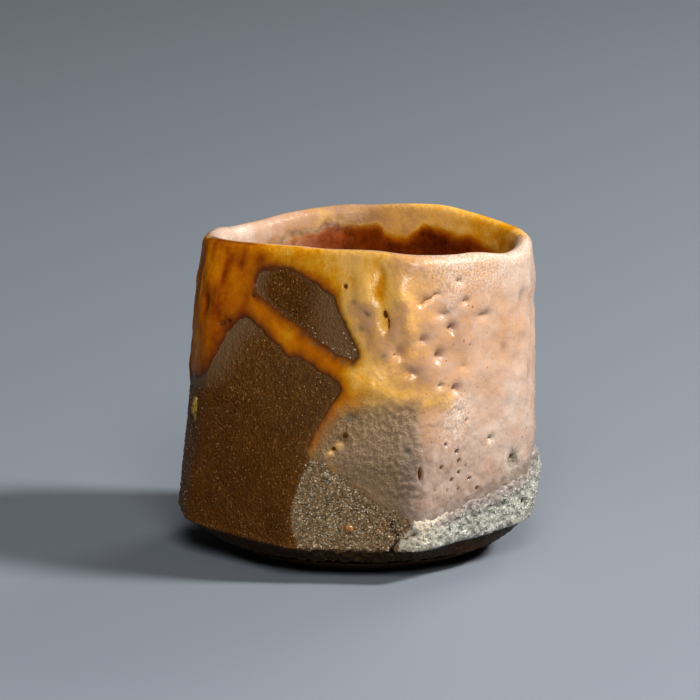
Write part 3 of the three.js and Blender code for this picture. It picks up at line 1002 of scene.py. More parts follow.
def crust_finish(name, colours):
    """Grey-green fly ash, half melted, with pale and dark grains."""
    finish = Finish(name)
    ash = colours.ash
    broad = finish.grain(3.0, detail=4.0, roughness=0.6)
    fine = finish.grain(0.9, detail=3.0, roughness=0.65)
    color = finish.ramp(broad, [(0.3, shade(ash, 0.55)), (0.5, ash), (0.7, shade(ash, 1.35))])
    color = finish.mix(finish.value_of("mauve"), color, MAUVE_ASH)
    color = finish.mix(finish.value_of("brown"), color, BROWN_ASH)
    color = finish.mix(finish.band(fine, 0.55, 0.7, 0.0, 0.7), color, shade(ash, 1.8))
    color = finish.mix(finish.band(fine, 0.46, 0.32, 0.0, 0.85), color, shade(ash, 0.25))
    crumb = finish.bump(finish.cells(0.8), 0.3, 0.8)
    crumb = finish.bump(finish.grain(0.4, detail=3.0, roughness=0.7), 0.22, 0.8, before=crumb)
    rough = finish.band(fine, 0.3, 0.7, 0.45, 0.22)
    return finish.set(Base_Color=color, Roughness=rough, Normal=crumb)


def bead_finish(name, dark, light, roughness):
    """Half-melted ash glass or feldspar, mottled between two colours."""
    finish = Finish(name)
    mottle = finish.grain(0.6, detail=3.0, roughness=0.65)
    color = finish.ramp(mottle, [(0.35, dark), (0.65, light)])
    skin = finish.bump(finish.grain(0.3, detail=2.0), 0.08, 0.5)
    return finish.set(Base_Color=color, Normal=skin, Roughness=roughness, Coat_Weight=0.3)


def grit_finish(name, dark, light, bright):
    """Loose grains, from a dark colour through a light one to a few bright ones."""
    finish = Finish(name)
    color = finish.ramp(finish.value_of("tint"), [(0.0, dark), (0.6, light), (0.9, bright)])
    mottle = finish.grain(0.2, detail=2.0)
    color = finish.mix(finish.band(mottle, 0.3, 0.7, 0.0, 0.35), color, dark)
    return finish.set(Base_Color=color, Roughness=0.3)


def grain_nodes(name, material, attribute):
    """Nodes that strew grains over a mesh where an attribute asks for them, and their inputs by name."""
    tree = bpy.data.node_groups.new(name, "GeometryNodeTree")
    kinds = {"Geometry": "Geometry", "Density": "Float", "Smallest": "Float", "Largest": "Float"}
    kinds["Seed"] = "Int"
    sockets = {}
    for key, kind in kinds.items():
        sockets[key] = tree.interface.new_socket(key, in_out="INPUT", socket_type="NodeSocket" + kind)
    tree.interface.new_socket("Geometry", in_out="OUTPUT", socket_type="NodeSocketGeometry")
    nodes = Nodes(tree)
    entry = nodes.add("NodeGroupInput").outputs
    asked = nodes.add("GeometryNodeInputNamedAttribute", {"Name": attribute}, data_type="FLOAT")
    inputs = {0: asked.outputs["Attribute"], 1: entry["Density"]}
    amount = nodes.add("ShaderNodeMath", inputs, operation="MULTIPLY")
    inputs = {"Mesh": entry["Geometry"], "Density": amount.outputs[0], "Seed": entry["Seed"]}
    places = nodes.add("GeometryNodeDistributePointsOnFaces", inputs).outputs
    pebble = nodes.add("GeometryNodeMeshIcoSphere", {"Radius": 1.0, "Subdivisions": 1})
    inputs = {2: entry["Smallest"], 3: entry["Largest"], "Seed": entry["Seed"]}
    size = nodes.add("FunctionNodeRandomValue", inputs, data_type="FLOAT")
    squash = nodes.add("FunctionNodeRandomValue", {0: FLATTEST, 1: ROUNDEST}, data_type="FLOAT_VECTOR")
    inputs = {0: squash.outputs[0], "Scale": size.outputs[1]}
    shape = nodes.add("ShaderNodeVectorMath", inputs, operation="SCALE")
    inputs = {"Points": places["Points"], "Rotation": places["Rotation"]}
    inputs |= {"Instance": pebble.outputs["Mesh"], "Scale": shape.outputs[0]}
    copies = nodes.add("GeometryNodeInstanceOnPoints", inputs)
    tint = nodes.add("FunctionNodeRandomValue", {"Seed": SEED}, data_type="FLOAT")
    inputs = {"Geometry": copies.outputs["Instances"], "Name": "tint", "Value": tint.outputs[1]}
    store = nodes.add("GeometryNodeStoreNamedAttribute", inputs, data_type="FLOAT", domain="INSTANCE")
    grains = nodes.add("GeometryNodeRealizeInstances", {"Geometry": store.outputs["Geometry"]})
    inputs = {"Geometry": grains.outputs["Geometry"], "Material": material}
    painted = nodes.add("GeometryNodeSetMaterial", inputs)
    nodes.add("NodeGroupOutput", {"Geometry": painted.outputs["Geometry"]})
    return tree, sockets


def scattered(name, surface, material, attribute, density, sizes):
    """Grains over a surface where an attribute asks for them, as one plain mesh."""
    tree, sockets = grain_nodes(name + "_nodes", material, attribute)
    carrier = bpy.data.objects.new(name + "_carrier", surface.data.copy())
    bpy.context.scene.collection.objects.link(carrier)
    modifier = carrier.modifiers.new("Scatter", "NODES")
    modifier.node_group = tree
    settings = {"Density": density, "Smallest": sizes[0] * MM, "Largest": sizes[1] * MM, "Seed": SEED}
    for key, value in settings.items():
        modifier[sockets[key].identifier] = value
    evaluated = carrier.evaluated_get(bpy.context.evaluated_depsgraph_get())
    mesh = bpy.data.meshes.new_from_object(evaluated)
    mesh.name = name
    bpy.data.objects.remove(carrier)
    if not mesh.polygons:
        raise RuntimeError(name + " came out empty")
    piece = bpy.data.objects.new(name, mesh)
    bpy.context.scene.collection.objects.link(piece)
    return piece


def thickness_of(cover, edge, body):
    """Coat thickness by the distance from its edge: a quick rise at the edge, then a slow one."""
    inside = np.maximum(cover, 0)
    grown = edge * (1 - np.exp(-inside / 0.35)) + body * (1 - np.exp(-inside / 4.0))
    return np.where(cover > 0, grown, np.maximum(cover * 0.8, -0.45))


def lip_coat(azimuth, points):
    """Glaze thickness along the lip's crest, where the outer and the inner coat meet."""
    slim = span(azimuth, -100, -80, -12, 10)
    return 0.45 - 0.25 * slim + 0.1 * grain(points, 5.0, shift=43.0)


def stray_places(count, *ranges, salt):
    """Seeded places, each of their values drawn from its range."""
    draw = np.random.default_rng(SEED + salt)
    columns = [draw.uniform(low, high, count).tolist() for low, high in ranges]
    return list(zip(*columns))


def under_window(x, height):
    """1 under the slanted line through the bare window, 0 over it."""
    return ramp(43.7 - 0.54 * (x + 0.7) - height, 0, 1)


def clay_rows(form, azimuth):
    """Rows from the clay's seat over its lip down to the well's floor, and which of them are its wall."""
    middle = form.seat_radius + 0 * azimuth
    seat = around(azimuth, middle, form.seat)
    edge = form.under_row(azimuth, 0.12)
    rows = [around(azimuth, middle * share, form.seat) for share in (0.3, 0.6, 0.9)]
    rows += [seat + (edge - seat) * share for share in np.linspace(0, 1, 17)]
    first = len(rows)
    rows += [form.wall_row(azimuth, share) for share in np.linspace(0.002, 1, CLAY_WALL_ROWS)]
    last = len(rows)
    rows += [form.lip_row(azimuth, turn) for turn in np.linspace(0, np.pi, 9)[1:]]
    rows += [form.well_row(azimuth, share) for share in np.linspace(0, 1, 12)[1:-1]]
    rows += [form.fillet_row(azimuth, turn) for turn in np.linspace(0, np.pi / 2, 6)]
    rows += [form.floor_row(azimuth, share) for share in (0.7, 0.4, 0.1)]
    return np.array(rows), slice(first, last)


class ClayBody:
    """The carved clay on its grid, with the masks that its relief and its colours share."""

    def __init__(self, form):
        azimuth = column_azimuths(CLAY_COLUMNS)
        rows, wall_rows = clay_rows(form, azimuth)
        self.wall = np.zeros((len(rows), 1))
        self.wall[wall_rows] = 1
        self.outside = np.zeros((len(rows), 1))
        self.outside[3 : wall_rows.stop] = 1
        points = uneven(azimuth, rows, self.wall)
        x, height = points[..., 0], points[..., 2]
        self.azimuth, self.points, self.x, self.height = azimuth, points, x, height
        self.arris = form.arris(azimuth)
        self.cover = np.full(points.shape[:-1], -20.0)
        self.cover[wall_rows] = glaze_cover(azimuth, points[wall_rows])
        self.bare = self.outside * ramp(-self.cover, -0.4, 0.4)
        self.smooth = self.smooth_zone()
        self.beside_cut = x - np.interp(height, *np.transpose(CUT_EDGE))
        self.low_front = fall(height, 26, 34) * ramp(azimuth, -60, -50) * fall(azimuth, 14, 40)
        self.grey = ramp(self.beside_cut, -0.3, 0.5) * self.low_front
        coarse = 0.5 * grain(points, 0.9, 2, shift=5.0) + 0.15 * grain(points, 2.4, 2, shift=8.0)
        sandy = 0.18 * grain(points, 0.6, 2, shift=5.0) + 0.12 * grain(points, 3.4, 2, shift=8.0)
        self.relief = sandy + (coarse - sandy) * self.grey
        split = np.abs((azimuth - CRACK_AZIMUTH) * 0.55 + 0.5 * np.sin(height * 1.3))
        self.crack = bell(split, CRACK_WIDTH) * fall(height, *CRACK_END) * (height > 5.0)
        crease = np.abs((x - 1.5) * 0.67 - (height - 8.7) * 0.74 + 0.4 * self.relief)
        self.crease = bell(crease, 0.28) * ramp(x, 0.8, 1.8) * fall(x, 4.4, 5.4) * self.low_front

    def smooth_zone(self):
        """Where the clay is smooth: next to the glaze, and in the right half of the window."""
        near = self.cover < 0.4
        upper_left = fall(self.azimuth, -52, -42) * ramp(self.height, 28, 36)
        width = 1.4 + 4.2 * upper_left
        edge = self.outside * ramp(self.cover / width, -1.0, -0.1) * near * (0.35 + 0.65 * upper_left)
        right_half = ramp(self.x, -11, -5) * ramp(self.height, 39, 41) * near * self.wall
        return np.maximum(edge, 0.85 * right_half)

    def skin(self):
        """The grid with its grain, its crack and its crease."""
        normal = normals_of(self.points)
        rise = self.bare * ((1 - 0.75 * self.smooth) * self.relief - 0.15)
        cut = (0.9 * self.crack + 0.35 * self.crease) * self.outside
        return self.points + normal * rise[..., None] - normal * cut[..., None]

    def colours(self, skin):
        """The values at every point from which the finish and the grit are made."""
        rust = 0.8 * self.crease
        for (_, _, radius), away in spots(self.azimuth, skin, RUST_SPOTS):
            rust = np.maximum(rust, 1 - ramp(away, 0.4 * radius, 1.2 * radius))
        x, height, bare, wall = self.x, self.height, self.bare, self.wall
        olive = 0.42 * ramp(x + 0.8 * (height - 22), -20, 8) * fall(height, 38, 43)
        cut_glint = bell(self.beside_cut, 0.7) * self.low_front
        inside = -outline_distance(BARE_WINDOW, x, height) * (self.points[..., 1] < 0)
        window_edge = bell(inside - 0.6, 0.6) * ramp(x, -13, -9) * under_window(x, height)
        grit = (1 - 0.85 * self.smooth) * (0.5 + 0.4 * self.grey + 0.8 * cut_glint)
        return {
            "halo": 0.75 * self.smooth * bare,
            "grey": self.grey * bare,
            "rust": rust * bare,
            "olive": olive * bare * wall,
            # Pale grains: painted glints on the low slice, and the clay's own pale grains along the window's
            # lower edge
            "glint": bare * wall * np.maximum(self.grey, 0.35 * window_edge),
            "grit": bare * wall * grit,
            # Painted shade: dark under the lower arris and in the crack
            "shade": np.maximum(0.92 * ramp(self.arris - height, 0.0, 0.8), 0.9 * self.crack) * self.outside,
            # Painted highlight: a thin lighter line just over the lower arris
            "arris_highlight": 0.35 * bell(height - self.arris - 0.5, 0.5) * bare * wall,
        }


class SAKE_OT_clay(bpy.types.Operator):
    """Build the carved clay body, the grit on its bare parts, and the pale grains that paint glints on the
    low slice
    """

    bl_idname = "sake.clay"
    bl_label = "Clay body"

    def execute(self, context):
        clay = ClayBody(Form(context.scene.cup_form))
        skin = clay.skin()
        paint = clay_finish("bare_clay", context.scene.cup_colours)
        body = cup_solid("clay_wall", skin, clay.colours(skin), paint)
        settle(body, "clay_body")
        dark_paint = grit_finish("clay_grit", *GRIT)
        specks = scattered("clay_specks", body, dark_paint, "grit", *GRIT_AMOUNT)
        settle(specks, None)
        # Pale grains that paint glints on the low slice, and the pale grains along the window
        glint_paint = grit_finish("pale_glint_grit", *PALE_GLINT_GRIT)
        glints = scattered("clay_glints", body, glint_paint, "glint", *PALE_GLINT_GRIT_AMOUNT)
        settle(glints, None)
        return {"FINISHED"}


class OuterCoat:
    """The outer glaze on its grid up to the lip's crest, with the masks that thickness and colours share."""

    def __init__(self, form):
        azimuth = column_azimuths(OUTER_COLUMNS)
        grid = form.outer_grid(azimuth)
        lip_start = UNDER_ROWS + WALL_ROWS
        crest = lip_start + LIP_ROWS // 2
        points = grid[:crest]
        x, height = points[..., 0], points[..., 2]
        self.azimuth, self.points, self.x, self.height = azimuth, points, x, height
        self.normal = normals_of(grid)[:crest]
        self.over_lip = (np.arange(crest)[:, None] - lip_start + 1) / LIP_ROWS
        self.cover = np.full(points.shape[:-1], 20.0)
        self.cover[:lip_start] = glaze_cover(azimuth, points[:lip_start])
        self.cover[:UNDER_ROWS] = -5
        self.front = points[..., 1] < 0
        blur = 1.1 * grain(points, 3.0, 3, shift=37.0)
        self.from_thin = np.where(self.front, outline_distance(THIN_FRONT, x, height), 20.0) + blur
        self.thin = ramp(-self.from_thin, -2.4, 2.2)
        self.lumps = 0.3 * grain(points, 6.0, shift=41.0) + 0.24 * grain(points, 2.6, shift=47.0)
        streaked = points * np.array([1.0, 1.0, 0.16])
        self.left_runs = np.minimum(grain(streaked, 1.7, 2, shift=53.0), 0.2) * fall(azimuth, -75, -45)
        self.beige = span(azimuth, 10, 16, 40, 56) * fall(height, 20, 32)
        self.ashen = span(azimuth, 10, 18, 120, 150)
        self.above_crust = height - table_at(CRUST_TOP, azimuth) + 2.0 * self.lumps
        self.beside_arris = self.patch(33, 30, 7, 5)

    def patch(self, azimuth, height, wide, tall):
        """A soft patch round a place, as wide as so many degrees."""
        return np.exp(-(((self.azimuth - azimuth) / wide) ** 2) - ((self.height - height) / tall) ** 2)

    def near_edge(self, reach):
        """1 at the glaze's edge, less with the distance from it."""
        return np.exp(-np.maximum(self.cover, 0) / reach)

    def near_crust(self, reach):
        """1 at the crust on the right, less with the height over it."""
        return self.ashen * np.exp(-np.maximum(self.above_crust, 0) / reach)

    def holes(self):
        """The depth of each pinhole, and how far every point lies from it, with 1 at its edge."""
        stray = stray_places(60, (78, 262), (22, 56), (0.2, 0.4), (0.2, 0.5), (0.3, 0.6), salt=1)
        for (_, _, wide, tall, depth), across, up in offsets(self.azimuth, self.points, PITS + stray):
            yield depth, np.hypot(across / wide, up / tall)

    def runs(self):
        """The height, rise and tone of each run, and its strength at every point."""
        for (_, level, wide, tall, rise, tone), across, up in offsets(self.azimuth, self.points, GLAZE_RUNS):
            yield level, rise, tone, np.exp(-((across / wide) ** 2) - (up / tall) ** 2)

    def thickness(self):
        """Thickness with lumps, pinholes and runs. On the lip it is the coat that both glazes share."""
        cover = self.cover
        sandy = 0.2 * grain(self.points, 0.9, 2, shift=59.0)
        rough = np.maximum(self.thin, np.maximum(0.5 * self.beige, 0.9 * self.beside_arris))
        thick = thickness_of(cover, 0.14, 0.5) * (1 - 0.6 * self.thin)
        thick -= 0.3 * self.ashen * (1 - ramp(self.above_crust, -1.0, 3.0))
        thick += ramp(cover, 0.4, 3.0) * (1 - self.thin) * (self.lumps + 0.14 * self.left_runs)
        thick += rough * sandy * (cover > 0)
        thick += 0.1 * bell(self.from_thin - 1.2, 1.4) * (self.height > 29) * (cover > 0.3)
        thick = np.where(cover > 0.4, np.maximum(thick, THINNEST_GLAZE), thick)
        for depth, away in self.holes():
            thick -= depth * (1 - ramp(away, 0.45, 1.15)) * (cover > 0.2)
            thick += 0.04 * bell(away - 1.6, 0.5) * (cover > 0.2)
        for _, rise, _, run in self.runs():
            thick += rise * run * (cover > 0.3)
        meet = ramp(self.over_lip, -1.4, 0.5)
        return thick + (lip_coat(self.azimuth, self.points) - thick) * meet

    def tone(self):
        """Where the colour lies on the glaze's range of tones."""
        azimuth, height = self.azimuth, self.height
        tone = tone_at(azimuth, self.points, OUTER_TONES)
        behind = ramp(np.abs(azimuth), 70, 100)
        tone = tone + (table_at(INNER_RIM, azimuth) - tone) * ramp(self.over_lip, 0.38 - 0.4 * behind, 0.5)
        for _, _, run_tone, run in self.runs():
            tone += 0.85 * run * (run_tone - tone)
        beside_window = span(azimuth, -20, -12, 0, 8) * ramp(height, 37, 40)
        flowing = span(azimuth, -12, -2, 20, 30) * ramp(height, 32, 36)
        tone = tone - 0.1 * beside_window * self.near_edge(1.8) - 0.14 * self.near_edge(1.2)
        return tone + 0.2 * self.left_runs + 0.14 * flowing * self.lumps

    def pits_and_shade(self):
        """How dark the pinholes, the dents' cores, the patches of painted shade and the low end of the thin
        patch are. The dents' cores are painted shade.
        """
        pit_and_shade = np.zeros_like(self.cover)
        for _, away in self.holes():
            pit_and_shade = np.maximum(pit_and_shade, 1 - ramp(away, 0.45, 1.05))
        # Painted shade: darker cores in the dents
        for (_, _, wide, tall, depth), across, up in offsets(self.azimuth, self.points, DENTS):
            core = np.exp(-((1.6 * across / wide - 0.4) ** 2) - (1.6 * up / tall - 0.5) ** 2)
            pit_and_shade = np.maximum(pit_and_shade, min(0.45 * depth, 0.6) * core)
        # Painted shade: soft dark patches over the front's glaze
        for azimuth, height, wide, tall, strength in SHADE_PATCHES:
            pit_and_shade = np.maximum(pit_and_shade, strength * self.patch(azimuth, height, wide, tall))
        pit_and_shade = np.maximum(pit_and_shade, 0.3 * self.thin * fall(self.height, 20, 26))
        return pit_and_shade * (self.cover > 0.2)

    def fallen_ash(self):
        """Ash over the crust, in spots, and along the window's lower edge."""
        crumbled = ramp(grain(self.points, 1.3, 2, shift=107.0), -0.3, 0.4)
        ash = 0.6 * crumbled * self.near_crust(1.5)
        for (_, _, radius), away in spots(self.azimuth, self.points, ASH_SPOTS):
            spot = 1 - ramp(away + self.lumps, 0.3 * radius, 1.2 * radius)
            ash = np.maximum(ash, min(0.75, 0.8 * radius) * spot)
        below = np.where(self.front, outline_distance(BARE_WINDOW, self.x, self.height), 20.0)
        line = bell(below + 0.5 * self.lumps - 0.5, 0.5) * span(self.x, -12, -8, -0.5, 0.5)
        return np.maximum(ash, 0.75 * line * crumbled * under_window(self.x, self.height))

    def frost_and_glint(self):
        """Frost under the lip, in patches on the right and round the ash spots, and beside the arris as white
        speckle that partly paints glints, a painted highlight.
        """
        azimuth = self.azimuth
        cloud = ramp(grain(self.points, 5.0, 2, shift=101.0), 0.0, 0.5)
        frost_and_glint = 0.6 * span(azimuth, 12, 34, 84, 112) * ramp(self.height + 5 * self.lumps, 47, 57)
        frost_and_glint = np.maximum(frost_and_glint, 0.14 * span(azimuth, 14, 36, 90, 125) * cloud)
        # Beside the arris the frost is partly painted highlight: white speckle standing in for glints
        frost_and_glint = np.maximum(frost_and_glint, 0.7 * self.beside_arris)
        for (_, _, radius), away in spots(azimuth, self.points, ASH_SPOTS):
            frost_and_glint = np.maximum(frost_and_glint, 0.8 * bell(away, 1.5 * radius) * (azimuth > 20))
        return frost_and_glint

    def colours(self):
        """The values at every point from which the finish takes its colours."""
        azimuth, height = self.azimuth, self.height
        thin = self.thin
        for level, _, _, run in self.runs():
            thin = thin * (1 - 0.85 * run * (level < 29))
        edge = self.near_edge(0.8) * (1 - self.thin) * (azimuth < 14)
        lip_edge = ramp(self.over_lip, 0.22, 0.4) * span(azimuth, -85, -78, -62, -50)
        return {
            "tone": self.tone(),
            "thin": 0.95 * thin * (0.35 + 0.65 * ramp(self.x + 0.6 * (26 - height), -11, -5)),
            "mauve": np.maximum(0.95 * self.near_crust(6.0), 0.55 * self.beige),
            "halo": 0.85 * np.maximum(edge, 0.8 * lip_edge),
            "frost_and_glint": self.frost_and_glint(),
            "ash": self.fallen_ash(),
            "gloss": 1 - bell(azimuth + 90, 34) + 0 * height,
            "speck": span(azimuth, 8, 26, 90, 130),
            "pit_and_shade": self.pits_and_shade(),
        }


class SAKE_OT_outer_glaze(bpy.types.Operator):
    """Build the glaze coat outside, up to the lip's crest"""

    bl_idname = "sake.outer_glaze"
    bl_label = "Outer glaze"

    def execute(self, context):
        coat = OuterCoat(Form(context.scene.cup_form))
        thick = coat.thickness()
        top = coat.points + coat.normal * thick[..., None]
        bottom = coat.points - coat.normal * COAT_DEPTH
        paint = glaze_finish("amber_glaze", context.scene.cup_colours)
        piece = shell("glaze_coat", top, bottom, thick > GLAZE_KEPT, coat.colours(), paint)
        settle(piece, "outer_glaze")
        return {"FINISHED"}


def lining_grid(form, azimuth):
    """Points from the lip's crest down to the middle of the well's floor, and their outward directions."""
    turns = np.linspace(0, np.pi, LIP_ROWS + 1)[LIP_ROWS // 2 - 2 :]
    path = [form.lip_row(azimuth, turn) for turn in turns]
    path += [form.well_row(azimuth, share) for share in np.linspace(0, 1, 110)[1:]]
    path += [form.fillet_row(azimuth, turn) for turn in np.linspace(0, np.pi / 2, 20)[1:]]
    path += [form.floor_row(azimuth, share) for share in np.linspace(1, 0.02, 16)[1:]]
    points = uneven(azimuth, np.array(path), 0.0)
    return points[2:], normals_of(points)[2:]


def lining_relief(azimuth, points, lumps):
    """Thickness of the lining with pinholes and dents, and how dark the pinholes are."""
    thick = 0.4 + lumps
    pit_and_shade = np.zeros_like(thick)
    pits_and_shade = stray_places(60, (-180, 180), (20, 53), (0.3, 0.6), (0.2, 0.4), salt=3)
    for (_, _, radius, depth), away in spots(azimuth, points, pits_and_shade):
        hole = 1 - ramp(away, 0.4 * radius, 1.2 * radius)
        thick -= depth * hole
        pit_and_shade = np.maximum(pit_and_shade, 0.8 * hole)
    dents = stray_places(50, (-180, 180), (22, 55), (1.0, 2.2), (0.2, 0.5), salt=4)
    for (_, _, radius, depth), away in spots(azimuth, points, dents):
        thick -= depth * bell(away, 0.7 * radius)
    return thick, pit_and_shade


class SAKE_OT_inner_glaze(bpy.types.Operator):
    """Build the glaze lining of the well, from the lip's crest down"""

    bl_idname = "sake.inner_glaze"
    bl_label = "Inner glaze"

    def execute(self, context):
        form = Form(context.scene.cup_form)
        azimuth = column_azimuths(OUTER_COLUMNS // 2)
        points, normal = lining_grid(form, azimuth)
        height = points[..., 2]
        below = form.shoulder(azimuth) + form.lip_round - height
        lumps = 0.25 * grain(points, 6.0, shift=61.0) + 0.14 * grain(points, 2.2, 2, shift=67.0)
        thick, pit_and_shade = lining_relief(azimuth, points, lumps)
        at_left = fall(azimuth, -130, -118) * ramp(azimuth, -178, -168)
        ragged = 0.6 * grain(points, 4.0, 2, shift=103.0) * (1 + 1.6 * at_left)
        apron = ramp((table_at(INNER_APRON, azimuth) - below + ragged) / (1 + 0.9 * at_left), -1.7, 1.1)
        thick = thick + 0.35 * apron
        thick = thick + (lip_coat(azimuth, points) - thick) * (1 - ramp(below, 0.0, 4.0))
        pool = table_at(INNER_POOL, azimuth) * (0.5 + 0.5 * ramp(height, 15, 48))
        tone = pool + (table_at(INNER_RIM, azimuth) - pool) * apron + 0.2 * lumps * ramp(below, 0, 3)
        shaded_back = bell((azimuth + 360) % 360 - 188, 16)
        mauve = 0.75 * bell(np.radians(azimuth + 140) * 26, 9.0) * ramp(below, 2.5, 5.0)
        mauve = np.maximum(mauve, 0.8 * bell(apron - 0.5, 0.35) * at_left)
        # Painted shade: the mauve mix greys and darkens the back rim just under the lip
        mauve = np.maximum(mauve, 0.55 * shaded_back * (1 - ramp(below, 2.5, 4.5)))
        values = {"tone": tone, "pit_and_shade": pit_and_shade, "mauve": mauve}
        for key in ("thin", "halo", "frost_and_glint", "ash", "speck"):
            values[key] = np.zeros_like(tone)
        values["gloss"] = 0.15 + 0.6 * ramp(below, 0.5, 3.0)
        for key, grid in values.items():
            values[key] = np.vstack([grid[::-4], grid[:1], grid])
        hidden = points - normal * LINING_DEPTH
        back = np.vstack([hidden[::-4], hidden[:1]])
        top = points + normal * thick[..., None]
        paint = glaze_finish("rust_glaze", context.scene.cup_colours)
        lining = cup_solid("well_lining", np.vstack([back, top]), values, paint, sharp_row=len(back))
        settle(lining, "inner_glaze")
        return {"FINISHED"}


class SAKE_OT_ash(bpy.types.Operator):
    """Build the ash crust and the granules on it"""

    bl_idname = "sake.ash"
    bl_label = "Ash crust"

    def execute(self, context):
        form = Form(context.scene.cup_form)
        azimuth = column_azimuths(OUTER_COLUMNS)
        points = form.outer_grid(azimuth)[: UNDER_ROWS + CRUST_ROWS]
        normal = normals_of(points)
        height = points[..., 2]
        ragged = 0.7 * grain(points, 1.6, 3, shift=71.0) + 0.5 * grain(points, 5.0, shift=73.0)
        top_gap = table_at(CRUST_TOP, azimuth) - height + ragged
        left_gap = np.radians(azimuth - CRUST_LEFT) * form.base_radius - 0.5 * (height - 6) + 0.9 * ragged
        right_gap = np.radians(CRUST_RIGHT - azimuth) * form.base_radius + 2 * ragged
        low_gap = height - form.arris(azimuth) + 0.5 + 0.3 * ragged
        cover = np.minimum(np.minimum(top_gap, left_gap), np.minimum(right_gap, low_gap))
        under_glaze = 0.34 * ramp(height - table_at(GLAZE_EDGE, azimuth), -0.4, 1.0)
        soft_edge = ramp(np.minimum(top_gap, 0.6 * left_gap), 0.0, 3.2)
        thick = thickness_of(cover, 0.08, 0.15 + 0.35 * soft_edge) + under_glaze * ramp(cover, -0.3, 0.3)
        crumbs = 0.42 * grain(points, 1.2, 3, shift=83.0) + 0.2 * grain(points, 3.0, 2, shift=89.0)
        thick = thick + np.maximum(crumbs, -0.25) * ramp(cover, 0.0, 0.8) * (0.45 + 0.55 * soft_edge)
        for (_, _, radius, rise), away in spots(azimuth, points, CRUST_LUMPS):
            thick += rise * bell(away, radius) * (cover > 0)
        for (_, _, radius, depth), away in spots(azimuth, points, CRUST_HOLES):
            thick -= depth * (1 - ramp(away, 0.5 * radius, 1.2 * radius)) * (cover > 0)
        values = {
            "crumb": ramp(cover, 0.1, 2.6) * (0.2 + 0.8 * ramp(crumbs, -0.15, 0.25)),
            "mauve": 0.9 * (1 - ramp(top_gap, 0.4, 3.2)) + 0 * thick,
            "brown": 0.75 * (1 - ramp(left_gap, 2.0, 10.0)) + 0 * thick,
        }
        top = points + normal * thick[..., None]
        bottom = points - normal * COAT_DEPTH
        paint = crust_finish("grey_ash", context.scene.cup_colours)
        crust = shell("ash_skin", top, bottom, thick > CRUST_KEPT, values, paint)
        settle(crust, "ash_crust")
        crumb_paint = grit_finish("ash_crumbs", *ASH_CRUMBS)
        crumbs = scattered("ash_granules", crust, crumb_paint, "crumb", *ASH_CRUMB_AMOUNT)
        settle(crumbs, None)
        return {"FINISHED"}


class SAKE_OT_foot(bpy.types.Operator):
    """Build the luted foot ring"""

    bl_idname = "sake.foot"
    bl_label = "Foot ring"

    def execute(self, context):
        form = Form(context.scene.cup_form)
        azimuth = column_azimuths(FOOT_COLUMNS)
        top = FOOT_TOP
        outer_top = form.foot_outer + top / form.under_slope
        section = [
            (form.foot_inner, FOOT_CHAMFER),
            (form.foot_inner + FOOT_CHAMFER, 0.0),
            (form.foot_outer - FOOT_CHAMFER, 0.0),
            (form.foot_outer, 0.12),
            (outer_top - 0.4, top - 0.12),
            (outer_top - 0.6, top),
            (form.foot_inner + 1.2, top),
            (form.foot_inner + 0.9, top - 0.3),
        ]
        rows = []
        for (r0, z0), (r1, z1) in zip(section, section[1:] + section[:1]):
            for share in np.linspace(0, 1, FOOT_STEPS, endpoint=False):
                radius = r0 + (r1 - r0) * share
                rows.append(around(azimuth, radius + 0 * azimuth, z0 + (z1 - z0) * share))
        points = np.array(rows)
        relief = 0.12 * grain(points, 1.6, 3, shift=97.0) * ramp(points[..., 2], 0.0, 0.6)
        outward = points * np.array([1.0, 1.0, 0.0])
        outward = outward / np.linalg.norm(outward, axis=-1, keepdims=True)
        points = points + outward * relief[..., None]
        faces = grid_faces(len(rows), len(azimuth), wrap_rows=True)
        empty = np.zeros(points.shape[:-1])
        values = {key: empty for key in ("halo", "grey", "rust", "arris_highlight", "olive")}
        # Painted shade: the whole foot ring darkened, under the cup
        values["shade"] = empty + 0.7
        paint = clay_finish("foot_clay", context.scene.cup_colours)
        ring = mesh_object("foot", points.reshape(-1, 3), faces, values, paint)
        settle(ring, "foot_ring")
        return {"FINISHED"}


def bead_points(form, azimuth, height, size, count, shift):
    """A lumpy bead on the cup's side: rows from its buried back to its crown."""
    wide, tall, rise = size
    rows = []
    for turn in np.linspace(-0.45 * np.pi, 0.46 * np.pi, count):
        spin = 2 * np.pi * np.arange(2 * count) / (2 * count)
        across = wide / 2 * math.cos(turn) * np.cos(spin)
        along = tall / 2 * math.cos(turn) * np.sin(spin)
        rows.append(np.stack([across, along, rise * math.sin(turn) + 0 * spin], -1))
    local = np.array(rows)
    local = local * (1 + 0.3 * grain(local, 0.7, 3, shift=shift))[..., None]
    here = np.array([azimuth, azimuth - 1, azimuth + 1, azimuth, azimuth], float)
    level = np.array([height, height, height, height - 1, height + 1], float)
    middle, left, right, low, high = around(here, form.body(here, level), level)
    sideways = (right - left) / np.linalg.norm(right - left)
    upward = (high - low) / np.linalg.norm(high - low)
    outward = np.cross(sideways, upward)
    return middle + local @ np.array([sideways, upward, outward])


class SAKE_OT_beads(bpy.types.Operator):
    """Build the ash drip and the melted stone"""

    bl_idname = "sake.beads"
    bl_label = "Drip and stone"

    def execute(self, context):
        form = Form(context.scene.cup_form)
        drip = bead_points(form, *DRIP_PLACE, DRIP_SIZE, 16, 3.0)
        gold = bead_finish("gold_ash", *DRIP, 0.35)
        settle(cup_solid("golden_drip", drip, {}, gold), "ash_drip")
        stone = bead_points(form, *STONE_PLACE, STONE_SIZE, 14, 9.0)
        amber = bead_finish("amber_stone", *STONE, 0.5)
        settle(cup_solid("amber_stone", stone, {}, amber), "melted_stone")
        return {"FINISHED"}


